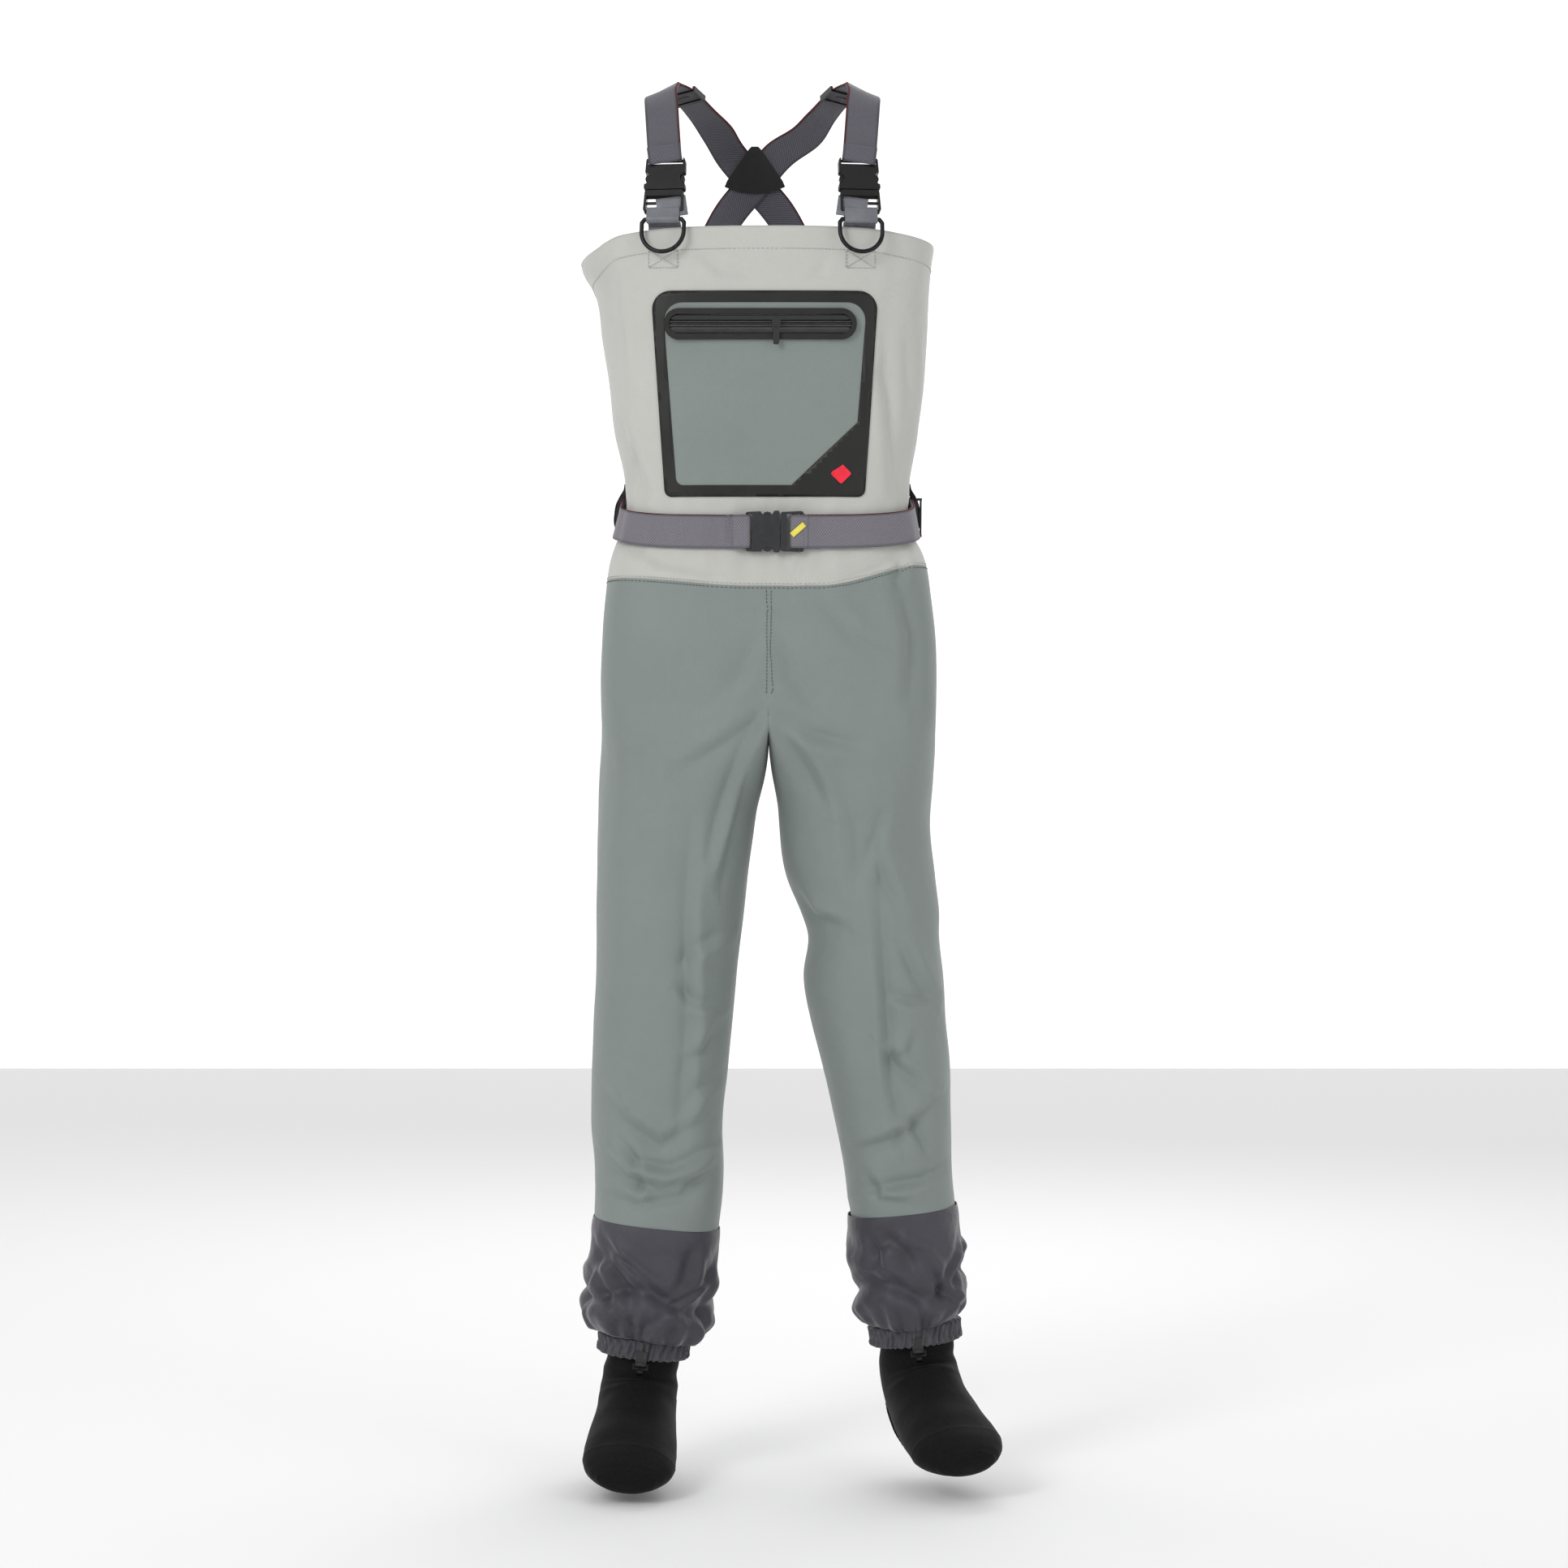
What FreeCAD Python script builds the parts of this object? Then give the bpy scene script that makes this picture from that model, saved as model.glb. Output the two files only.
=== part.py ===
import FreeCAD, Part

# Chest waders with elastic braces, a stretch belt, a zipped chest pocket, gravel guards and neoprene feet.
# Millimetres. +Z is up, the wearer faces -Y, and left and right are as seen from the front, so left is -X.
# The origin is the middle of the line across the wearer's shoulders, where the braces carry the waders.

import math
import os

from FreeCAD import Placement, Rotation, Vector

# Cloth and webbing
CLOTH = 2.0  # three-layer cloth with its lining
PATCH = 0.8  # one bonded layer on top of the cloth
TAPE = 0.8  # seam tape inside
NEOPRENE = 4.0
WEBBING = 38.0
WEBBING_THICK = 1.6

# Trunk: height, middle, half width and half depth of each ring
TRUNK_RINGS = [
    (-140, -9, 209, 128),
    (-205, -8, 205, 129),
    (-275, -5, 192, 129),
    (-390, -1, 178, 122),
    (-480, 0, 162, 110),
    (-515, 0, 164, 109.5),
    (-550, 1, 176, 111.5),
    (-600, 1, 186, 119),
    (-650, 2, 191, 124),
    (-700, 3, 192, 112),
    (-742, 3, 188, 45),
]
TRUNK_MIDDLE = 3.0
FLAT_FRONT = 4.0  # powers of the ovals: 2 is an ellipse, more is squarer
ROUND_BACK = 2.8
LEG_POWER = 2.3
OVAL_POINTS = 24

# Heights of the seams and of the bands that fold
HIP_SEAM = -585.0
SEAT_END = -765.0
THIGH_TOP = -850.0
THIGH_END = -948.0
SHIN_TOP = -1052.0
HEM_FRONT = -185.0
HEM_SIDE = -200.0
HEM_BACK = -236.0
HEM_TURN = 30.0

# Legs: height, middle, half width and half depth of each ring
LEG_RINGS = {
    "left": [
        (-600, -92, 80, 100),
        (-700, -97, 91, 111),
        (-765, -99, 94, 106),
        (-850, -102, 93, 98),
        (-970, -109, 88, 91),
        (-1100, -118, 81, 84),
        (-1220, -126, 77, 79),
        (-1322, -128, 73, 76),
    ],
    "right": [
        (-600, 96, 80, 100),
        (-700, 102, 90, 111),
        (-765, 103, 92, 106),
        (-850, 104, 89, 98),
        (-970, 117, 82, 90),
        (-1100, 131, 78, 84),
        (-1220, 145, 68, 78),
        (-1307, 157, 63, 73),
    ],
}
LEG_END = {"left": (-128.0, -1322.0, 73.0, 76.0), "right": (157.0, -1307.0, 63.0, 73.0)}
LEG_TILT = {"left": 6.0, "right": -6.0}  # outward lean of the gravel guard, degrees
FOOT_YAW = {"left": 0.0, "right": 12.0}  # toe turned outward, degrees

# Gravel guard, in the leg end's own frame
GUARD_LENGTH = 128.0
GUARD_THICK = 1.6
GUARD_MOUTH = (51.0, 55.0)
HEM_BAND = 22.0
HEM_INNER = (47.5, 52.0)
HEM_OUTER = (52.0, 56.5)
NECK_END = (43.0, 47.0)
FOOT_TOP = -156.0

# Foot rings in the ankle's frame: forward, down, lean from upright, half width, half depth
FOOT_RINGS = [
    (0, 0, 0, 43, 47),
    (-3, -28, 18, 44, 54),
    (20, -58, 45, 46, 53),
    (70, -78, 62, 49, 40),
    (120, -92, 66, 52, 32),
    (165, -104, 66, 45, 23),
    (186, -110, 66, 22, 11),
]
SOLE_THICK = 2.5
SOLE_PLANE = -105.0
SOLE_SLOPE = 24.0

# Chest pocket, seen from the front
POCKET_TOP = -258.0
POCKET_LOW = -488.0
POCKET_HALF_TOP = 128.0
POCKET_HALF_LOW = 113.0
POCKET_MIDDLE = -2.0
POCKET_BORDER = 13.0
POCKET_CORNERS = (22.0, 8.0)
CORNER_PATCH = 70.0
BADGE = (84.0, -462.0, 13.0)

# Zip
ZIP_MIDDLE = (-7.0, -295.5)
ZIP_SURROUND = (217.0, 35.0)
ZIP_WINDOW = (205.0, 22.0)
ZIP_FACE = -132.6
CHAIN_FACE = -131.4
TOOTH_PITCH = 3.2
TOOTH_RISE = 1.0
SLIDER_X = 11.0
SLIDER = (10.0, 11.0, 3.0)
PULL = (7.0, 24.0, 1.4)

# Side-release buckle in its own frame: the socket's mouth is at 0, its bar is up, -Y faces out
BUCKLE_WIDE = 47.0
BUCKLE_THICK = 10.0
SOCKET_LENGTH = 38.5
SOCKET_BODY = 30.0
SOCKET_BAR = 36.6
BAR_RADIUS = 1.7
PLUG_BASE = 8.0
PLUG_MIDDLE_BAR = -15.5
PLUG_END_BAR = -25.0
PLUG_LENGTH = 27.0
CAVITY = (39.0, 6.4, 27.0)
WINDOW_RADIUS = 8.0
WINDOW_HEIGHT = 14.0

# D-ring in the buckle's frame
RING_BAR = -35.5
RING_WIRE = 2.4
RING_HALF = 24.0
RING_DROP = 38.0
RING_LEAN = 12.0

# Where the buckles sit
BRACE_X = {"left": -116.0, "right": 106.0}
RING_BAR_AT = (-132.2, -178.5)  # depth and height of the D-ring's bar
BRACE_YAW = 8.0
BRACE_LEAN = 18.0
BELT_BUCKLE_AT = (15.0, -118.0, -528.0)

# Belt
BELT_MID = -502.0
BELT_SLOPE = 13.3
BELT_INNER = 1.2
BELT_LAYER = 1.7
BELT_END_LEFT = -42.0
BELT_END_RIGHT = 50.0
SIDE_REACH = 175.6  # the drawn half at the side and in front
FRONT_REACH = 113.6
BELT_JOIN = 30.0  # depth at which the drawn half meets the long half, behind the side
LOOP_HEIGHT = 66.0
LOOP_WIDE = 24.0
LOOP_STAND = 11.0

# Tri-glide in its own frame: the webbing runs along Z
GLIDE_RAIL = 3.0
GLIDE_LONG = 24.0
GLIDE_CLEAR = 0.45

# Back plate
PLATE_AT = (-15.0, 116.3, -98.0)
PLATE_LEAN = 12.5
PLATE_HALF = 36.0
PLATE_APEX = 43.0
PLATE_THICK = 2.2
PLATE_GAP = 4.4

NODES = {}


def node(name, *solids):
    """Keeps the solids of one node for export."""
    NODES.setdefault(name, []).extend(solids)


def placed(shape, placement):
    """A copy of shape moved by placement."""
    copy = shape.copy()
    copy.Placement = placement.multiply(copy.Placement)
    return copy


def box(low, high):
    """The block between two corners."""
    size = [b - a for a, b in zip(low, high)]
    return Part.makeBox(*size, Vector(*low))


def oval(x, z, half_width, half_depth, front=2.0, back=2.0):
    """A level ring round (x, 0, z), with a squarer front or back for a higher power."""
    points = []
    for i in range(OVAL_POINTS):
        turn = 2 * math.pi * i / OVAL_POINTS
        c, s = math.cos(turn), math.sin(turn)
        power = front if s < 0 else back
        reach = (abs(c) ** power + abs(s) ** power) ** (-1 / power)
        points.append(Vector(x + half_width * reach * c, half_depth * reach * s, z))
    curve = Part.BSplineCurve()
    curve.interpolate(Points=points, PeriodicFlag=True)
    return Part.Wire([curve.toShape()])


def rounded(corners, radii, depth=0.0):
    """A closed outline in the XZ plane with its corners rounded."""
    edges, ends = [], []
    count = len(corners)
    for i, (x, z) in enumerate(corners):
        here = Vector(x, depth, z)
        before = Vector(corners[i - 1][0], depth, corners[i - 1][1]) - here
        after = Vector(corners[(i + 1) % count][0], depth, corners[(i + 1) % count][1]) - here
        before.normalize()
        after.normalize()
        half = before.getAngle(after) / 2
        radius = radii[i % len(radii)]
        cut = radius / math.tan(half)
        middle = (before + after).normalize()
        arc_mid = here + middle * (radius / math.sin(half) - radius)
        ends.append((here + before * cut, arc_mid, here + after * cut))
    for i, (start, middle, end) in enumerate(ends):
        if (start - end).Length > 1e-6:
            edges.append(Part.Arc(start, middle, end).toShape())
        edges.append(Part.LineSegment(end, ends[(i + 1) % count][0]).toShape())
    return Part.Face(Part.Wire(edges))


def stadium(x, z, length, height, depth=0.0):
    """A slot outline in the XZ plane, round at both ends."""
    a, b = length / 2, height / 2
    corners = [(x - a, z - b), (x + a, z - b), (x + a, z + b), (x - a, z + b)]
    return rounded(corners, [b - 0.01], depth)


def strip(points, thick, width, x=0.0):
    """Webbing of one thickness that follows points (y, z), centred on x."""
    half = thick / 2
    left, right = [], []
    for i, (y, z) in enumerate(points):
        a = points[max(i - 1, 0)]
        b = points[min(i + 1, len(points) - 1)]
        dy, dz = b[0] - a[0], b[1] - a[1]
        length = math.hypot(dy, dz)
        left.append((y - dz / length * half, z + dy / length * half))
        right.append((y + dz / length * half, z - dy / length * half))
    loop = [Vector(x - width / 2, y, z) for y, z in left + right[::-1]]
    face = Part.Face(Part.makePolygon(loop + loop[:1]))
    return face.extrude(Vector(width, 0, 0))


def bar_loop(y, z_low, z_high, inner, thick, width, x=0.0):
    """Webbing sewn into a flat loop round one or two bars, in the YZ plane."""
    faces = []
    for r in (inner + thick, inner):
        corners = [(y - r, z_low - r), (y + r, z_low - r), (y + r, z_high + r), (y - r, z_high + r)]
        faces.append(rounded(corners, [r - 0.01]))
    turn = Placement(Vector(x - width / 2, 0, 0), Rotation(Vector(0, 0, 1), 90))
    ring = faces[0].cut(faces[1])
    return placed(ring, turn).extrude(Vector(width, 0, 0))


def ribbon(stations, thick=WEBBING_THICK, lift=0.0, width=WEBBING):
    """Webbing through stations of centre, direction across and direction out of its face."""
    wires = []
    for centre, across, out in stations:
        centre, across, out = Vector(*centre), Vector(*across), Vector(*out)
        across.normalize()
        out = (out - across * out.dot(across)).normalize()
        centre = centre + out * lift
        corners = [
            centre + across * (sx * width / 2) + out * (sy * thick / 2)
            for sx, sy in ((-1, -1), (1, -1), (1, 1), (-1, 1))
        ]
        wires.append(Part.makePolygon(corners + corners[:1]))
    return Part.makeLoft(wires, True, True)


# --- Trunk and legs -------------------------------------------------------------------------------

SKINS = {}


def trunk_solid(grow):
    """The filled trunk, grown or shrunk all round."""
    if ("trunk", grow) not in SKINS:
        wires = []
        for z, x, a, b in TRUNK_RINGS:
            height = z - grow if z == TRUNK_RINGS[-1][0] else z
            wires.append(oval(x, height, a + grow, b + grow, FLAT_FRONT, ROUND_BACK))
        SKINS["trunk", grow] = Part.makeLoft(wires, True, False)
    return SKINS["trunk", grow]


def leg_solid(side, grow):
    """One filled leg, grown or shrunk all round."""
    wires = [oval(x, z, a + grow, b + grow, LEG_POWER, LEG_POWER) for z, x, a, b in LEG_RINGS[side]]
    return Part.makeLoft(wires, True, False)


def garment_solid(grow):
    """Trunk and both legs as one filled form."""
    if ("garment", grow) not in SKINS:
        whole = trunk_solid(grow).fuse([leg_solid("left", grow), leg_solid("right", grow)])
        SKINS["garment", grow] = whole.removeSplitter()
    return SKINS["garment", grow]


def slab(low, high):
    """Everything between two heights."""
    return box((-400, -300, low), (400, 300, high))


def above_hem(drop=0.0):
    """The space above the top edge, which is high in front and falls to the back."""
    curve = Part.BSplineCurve()
    heights = [(-200, HEM_FRONT), (-100, HEM_FRONT), (0, HEM_SIDE), (90, HEM_BACK + 6), (200, HEM_BACK)]
    curve.interpolate([Vector(-400, y, z - drop) for y, z in heights])
    edge = curve.toShape()
    first, last = edge.Vertexes[0].Point, edge.Vertexes[-1].Point
    roof = Part.makePolygon([last, Vector(-400, last.y, 0), Vector(-400, first.y, 0), first])
    face = Part.Face(Part.Wire([edge] + roof.Edges))
    return face.extrude(Vector(800, 0, 0))


def front_patch(face, inner, outer):
    """A bonded layer on the trunk's front, cut to an outline."""
    prism = placed(face, Placement(Vector(0, -200, 0), Rotation())).extrude(Vector(0, 190, 0))
    return prism.common(trunk_solid(outer)).cut(trunk_solid(inner))


def make_cloth():
    """Bib panels, seat, thighs, shins and the bands that fold between them."""
    shell = garment_solid(0.0).cut(garment_solid(-CLOTH))
    bib = shell.common(slab(HIP_SEAM, 0)).cut(above_hem())
    front, back = box((-400, -300, -800), (400, 0, 0)), box((-400, 0, -800), (400, 300, 0))
    node("bib_front_panel", bib.common(front))
    node("bib_back_panel", bib.common(back))
    facing = slab(-300, -142).common(trunk_solid(-CLOTH)).cut(trunk_solid(-CLOTH - 1.2))
    node("top_hem_facing", facing.cut(above_hem()).common(above_hem(HEM_TURN)))

    half = {
        "left": box((-400, -300, -1400), (TRUNK_MIDDLE, 300, 0)),
        "right": box((TRUNK_MIDDLE, -300, -1400), (400, 300, 0)),
    }
    for side, space in half.items():
        mine = shell.common(space)
        node(f"{side}_seat_panel", mine.common(slab(SEAT_END, HIP_SEAM)))
        node(f"{side}_hip_cloth", mine.common(slab(THIGH_TOP, SEAT_END)))
        node(f"{side}_thigh", mine.common(slab(THIGH_END, THIGH_TOP)))
        node(f"{side}_knee_cloth", mine.common(slab(SHIN_TOP, THIGH_END)))
        node(f"{side}_shin", mine.common(slab(LEG_END[side][1], SHIN_TOP)))

    tape = garment_solid(-CLOTH).cut(garment_solid(-CLOTH - TAPE))
    rise = box((TRUNK_MIDDLE - 11, -300, SEAT_END + 8), (TRUNK_MIDDLE + 11, 300, HIP_SEAM - 11))
    node("seam_tapes", tape.common(rise), tape.common(slab(HIP_SEAM - 11, HIP_SEAM + 11)))


# --- Pocket and zip -------------------------------------------------------------------------------


def pocket_outline(inset):
    """The pocket's outline, drawn in from its edge by inset. It narrows towards the waist."""
    top, low = POCKET_TOP - inset, POCKET_LOW + inset
    wide, narrow = POCKET_HALF_TOP - inset, POCKET_HALF_LOW - inset
    x = POCKET_MIDDLE
    corners = [(x - narrow, low), (x + narrow, low), (x + wide, top), (x - wide, top)]
    big, small = POCKET_CORNERS
    return rounded(corners, [max(small - inset, 1), max(small - inset, 1), big, big])


def make_pocket():
    """Pocket panel, its welded border with the corner patch, and the badge on it."""
    node("pocket_panel", front_patch(pocket_outline(0), 0.0, PATCH))
    inside = pocket_outline(POCKET_BORDER)
    right, low = POCKET_MIDDLE + POCKET_HALF_LOW, POCKET_LOW
    reach = CORNER_PATCH + POCKET_BORDER
    triangle = Part.makePolygon(
        [Vector(right + 30, 0, low - 5), Vector(right + 30, 0, low + reach + 30),
         Vector(right - reach, 0, low - 5), Vector(right + 30, 0, low - 5)]
    )
    border = pocket_outline(0).cut(inside.cut(Part.Face(triangle)))
    node("pocket_border", front_patch(border, PATCH, 2 * PATCH))
    x, z, size = BADGE
    diamond = rounded([(x, z - size), (x + size, z), (x, z + size), (x - size, z)], [2.0])
    node("corner_badge", front_patch(diamond, 2 * PATCH, 2 * PATCH + 1.2))


def flat_on_front(face, level):
    """A plate with a flat face at depth level, moulded to the pocket panel behind it."""
    prism = placed(face, Placement(Vector(0, level, 0), Rotation())).extrude(Vector(0, 25, 0))
    return prism.cut(trunk_solid(PATCH))


def tooth_rack(x, z, length, way):
    """One row of teeth that points up (way 1) or down (way -1) to the zip's middle."""
    points = [Vector(x - length / 2, 0, z - way * 2.6)]
    for i in range(int(length / TOOTH_PITCH)):
        start = x - length / 2 + i * TOOTH_PITCH + (TOOTH_PITCH / 2 if way < 0 else 0)
        for step, rise in ((0.3, -1.2), (0.5, 0.5), (1.7, 0.5), (1.9, -1.2)):
            points.append(Vector(start + step, 0, z + way * rise - way * 0.9))
    points.append(Vector(x + length / 2 + 2, 0, z - way * 2.6))
    face = Part.Face(Part.makePolygon(points + points[:1]))
    return placed(face, Placement(Vector(0, CHAIN_FACE - TOOTH_RISE, 0), Rotation())).extrude(
        Vector(0, TOOTH_RISE, 0)
    )


def make_zip():
    """Bonded surround, the taped chain with its teeth and stops, the slider and its pull."""
    x, z = ZIP_MIDDLE
    window = stadium(x, z, *ZIP_WINDOW)
    node("zip_surround", flat_on_front(stadium(x, z, *ZIP_SURROUND).cut(window), ZIP_FACE))
    node("zip_chain", flat_on_front(stadium(x, z, ZIP_WINDOW[0] - 0.4, ZIP_WINDOW[1] - 0.4), CHAIN_FACE))
    run = ZIP_WINDOW[0] - 28
    for way in (1, -1):
        node("zip_chain", tooth_rack(x, z, run, way))
    front = CHAIN_FACE - TOOTH_RISE
    for end in (-1, 1):
        stop = x + end * (run / 2 + 5)
        node("zip_chain", box((stop - 1.5, front, z - 3.2), (stop + 1.5, CHAIN_FACE, z + 3.2)))

    wide, tall, deep = SLIDER
    face = front - 0.3
    top = rounded(
        [(SLIDER_X - wide / 2, z - tall / 2), (SLIDER_X + wide / 2, z - tall / 2),
         (SLIDER_X + wide / 2, z + tall / 2), (SLIDER_X - wide / 2, z + tall / 2)], [2.5], face - deep)
    body = top.extrude(Vector(0, deep, 0))
    for edge in (-1, 1):
        rail_low, rail_high = sorted((z + edge * 3.9, z + edge * (tall / 2 - 0.2)))
        body = body.fuse(box((SLIDER_X - 3, face - 0.1, rail_low), (SLIDER_X + 3, front + 0.8, rail_high)))
    bail_y = face - deep - 1.6
    bail = box((SLIDER_X - 1.6, bail_y - 2.6, z - 4), (SLIDER_X + 1.6, face - deep + 0.1, z + 4))
    eye = Part.makeCylinder(1.3, 8, Vector(SLIDER_X - 4, bail_y, z + 1.6), Vector(1, 0, 0))
    node("zip_slider", body.fuse(bail).cut(eye))

    pull_w, pull_l, pull_t = PULL
    pin = Part.makeCylinder(1.0, 7, Vector(SLIDER_X - 3.5, bail_y, z + 1.6), Vector(1, 0, 0))
    low = bail_y - pull_t / 2
    arms = [box((SLIDER_X + s * 2.8 - 0.8, low, z - 6), (SLIDER_X + s * 2.8 + 0.8, low + pull_t, z + 2.6)) for s in (-1, 1)]
    tab = rounded(
        [(SLIDER_X - pull_w / 2, z - pull_l), (SLIDER_X + pull_w / 2, z - pull_l),
         (SLIDER_X + pull_w / 2, z - 5), (SLIDER_X - pull_w / 2, z - 5)], [2.0], low).extrude(Vector(0, pull_t, 0))
    node("zip_pull", tab.fuse(arms + [pin]))


# --- Buckles, D-rings and tri-glides --------------------------------------------------------------


def socket_half():
    """The half that takes the plug, with a window each side and a webbing bar at its end."""
    half, thick = BUCKLE_WIDE / 2, BUCKLE_THICK / 2
    outline = rounded([(-half, 0), (half, 0), (half - 1.5, SOCKET_LENGTH), (1.5 - half, SOCKET_LENGTH)], [2.5], -thick)
    body = outline.extrude(Vector(0, BUCKLE_THICK, 0))
    wide, deep, long = CAVITY
    body = body.cut(box((-wide / 2, -deep / 2, -1), (wide / 2, deep / 2, long)))
    for side in (-1, 1):
        hole = Part.makeCylinder(WINDOW_RADIUS, 30, Vector(side * (half + 2.0), -15, WINDOW_HEIGHT), Vector(0, 1, 0))
        body = body.cut(hole)
    body = body.cut(box((-WEBBING / 2 - 0.8, -9, SOCKET_BODY + 0.8), (WEBBING / 2 + 0.8, 9, SOCKET_BAR - BAR_RADIUS)))
    body = body.cut(box((-WEBBING / 2 - 0.8, -9, SOCKET_BAR - BAR_RADIUS), (WEBBING / 2 + 0.8, 9, SOCKET_LENGTH + 1)))
    bar = Part.makeCylinder(BAR_RADIUS, WEBBING + 4, Vector(-WEBBING / 2 - 2, 0, SOCKET_BAR), Vector(1, 0, 0))
    return body.fuse(bar)


def plug_half():
    """The half with the tongue, a webbing window, a middle bar and an end bar."""
    half, thick = BUCKLE_WIDE / 2 - 0.5, BUCKLE_THICK / 2 - 0.5
    outline = rounded([(-half, -PLUG_LENGTH), (half, -PLUG_LENGTH), (half - 1, -0.9), (1 - half, -0.9)], [3.0], -thick)
    body = outline.extrude(Vector(0, 2 * thick, 0))
    body = body.cut(box((-WEBBING / 2 - 0.8, -9, -PLUG_LENGTH + 4), (WEBBING / 2 + 0.8, 9, -PLUG_BASE)))
    middle = Part.makeCylinder(BAR_RADIUS, WEBBING + 4, Vector(-WEBBING / 2 - 2, 0, PLUG_MIDDLE_BAR), Vector(1, 0, 0))
    end_cut = box((-WEBBING / 2 - 0.8, -9, -PLUG_LENGTH - 1), (WEBBING / 2 + 0.8, 9, -PLUG_LENGTH + 4.1))
    end = Part.makeCylinder(2.0, WEBBING + 4, Vector(-WEBBING / 2 - 2, 0, PLUG_END_BAR), Vector(1, 0, 0))
    tongue = rounded([(-4, -2), (4, -2), (3, 23), (-3, 23)], [1.0], -2.0).extrude(Vector(0, 4, 0))
    return body.cut(end_cut).fuse([middle, end, tongue])


def latch(side):
    """One springy arm of the plug, with the button that fills the socket's window."""
    points = [(13, 0), (17.5, 0), (18.6, 9.4), (21.4, 10.2), (22.6, 14), (21.4, 17.8), (18.6, 18.8), (15.4, 24), (13.4, 22)]
    corners = [(side * x, z) for x, z in points]
    if side < 0:
        corners.reverse()
    return rounded(corners, [0.6], -2.6).extrude(Vector(0, 5.2, 0))


def d_ring():
    """A D of round wire that hangs from its straight bar and leans away from the cloth."""
    shoulder = RING_HALF - RING_DROP
    ends = Vector(RING_HALF - 3, 0, 0), Vector(RING_HALF, 0, -4), Vector(RING_HALF, 0, shoulder)
    torus = Part.makeTorus(RING_HALF, RING_WIRE, Vector(0, 0, shoulder), Vector(0, 1, 0))
    pieces = [torus.common(box((-60, -9, -60), (60, 9, shoulder)))]
    for side in (-1, 1):
        points = [Vector(side * p.x, 0, p.z) for p in ends]
        for start, end in zip(points, points[1:]):
            pieces.append(Part.makeCylinder(RING_WIRE, (end - start).Length, start, end - start))
        pieces += [Part.makeSphere(RING_WIRE, p) for p in points[:2]]
    bar = Part.makeCylinder(RING_WIRE, 2 * RING_HALF - 6, Vector(3 - RING_HALF, 0, 0), Vector(1, 0, 0))
    lean = Rotation(Vector(1, 0, 0), -RING_LEAN)
    return placed(bar.fuse(pieces), Placement(Vector(0, 0, RING_BAR), lean))


def tri_glide(layers=1):
    """A slide adjuster: two end bars under the webbing, a middle bar over it, rails at its edges."""
    low = WEBBING_THICK / 2 + GLIDE_CLEAR
    high = low + (layers - 1) * BELT_LAYER
    half = WEBBING / 2 + 0.8
    rails = [box((s * (half + GLIDE_RAIL / 2) - GLIDE_RAIL / 2, -high - 2.2, -GLIDE_LONG / 2),
                 (s * (half + GLIDE_RAIL / 2) + GLIDE_RAIL / 2, low + 2.2, GLIDE_LONG / 2)) for s in (-1, 1)]
    bars = [box((-half - 1, -high - 2.2, -3), (half + 1, -high, 3))]
    for end in (-1, 1):
        z = end * (GLIDE_LONG / 2 - 2)
        bars.append(box((-half - 1, low, z - 2), (half + 1, low + 2.2, z + 2)))
    return rails[0].fuse(rails[1:] + bars)


def brace_frame(side):
    """Where one brace buckle sits: its lower bar hangs just outside the top hem."""
    yaw = BRACE_YAW if side == "right" else -BRACE_YAW
    turn = Rotation(Vector(0, 0, 1), yaw).multiply(Rotation(Vector(1, 0, 0), -BRACE_LEAN))
    bar = Vector(BRACE_X[side], *RING_BAR_AT)
    return Placement(bar - turn.multVec(Vector(0, 0, RING_BAR)), turn)


def upright_frame(side):
    """The D-ring's frame: it hangs from the same bar, upright."""
    yaw = BRACE_YAW if side == "right" else -BRACE_YAW
    turn = Rotation(Vector(0, 0, 1), yaw)
    bar = Vector(BRACE_X[side], *RING_BAR_AT)
    return Placement(bar - turn.multVec(Vector(0, 0, RING_BAR)), turn)


BELT_FRAME = Placement(Vector(*BELT_BUCKLE_AT), Rotation(Vector(0, 1, 0), -90))


def anchor_webbing(side):
    """Webbing sewn inside the bib that comes over the hem and holds the D-ring and the plug."""
    frame = brace_frame(side)
    loop = placed(bar_loop(0, RING_BAR, PLUG_END_BAR, RING_WIRE + 0.3, WEBBING_THICK, WEBBING - 1), frame)
    back = RING_WIRE + 0.3 + WEBBING_THICK / 2
    tail = strip([(back, RING_BAR + 1), (back + 1.5, RING_BAR - 1.5), (9.5, RING_BAR - 3.5), (12.0, RING_BAR - 7),
                  (12.4, RING_BAR - 66)], WEBBING_THICK, WEBBING - 1)
    return [loop, placed(tail, upright_frame(side))]


def make_braces():
    """Buckles, D-rings, anchors and the webbing of both braces."""
    for side in ("left", "right"):
        frame = brace_frame(side)
        node(f"{side}_brace_socket", placed(socket_half(), frame))
        node(f"{side}_brace_plug", placed(plug_half(), frame))
        outer = -1 if side == "left" else 1
        node(f"{side}_brace_latch_outer", placed(latch(outer), frame))
        node(f"{side}_brace_latch_inner", placed(latch(-outer), frame))
        node(f"{side}_d_ring", placed(d_ring(), upright_frame(side)))
        node("anchor_webbing", *anchor_webbing(side))

        front, back = brace_stations(side)
        loop = placed(bar_loop(0, SOCKET_BAR, SOCKET_BAR + 5, BAR_RADIUS + 0.3, WEBBING_THICK, WEBBING - 1), frame)
        node(f"{side}_brace_front", loop, ribbon(front, lift=1.1), ribbon(front[:-1], lift=-1.1))
        over = 1.2 if side == "left" else -1.2
        node("back_webbing", ribbon(back[:3], lift=0.0), ribbon(shifted(back[2:], over)))
        node(f"{side}_brace_adjuster", placed(tri_glide(), glide_frame(back)))


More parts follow.
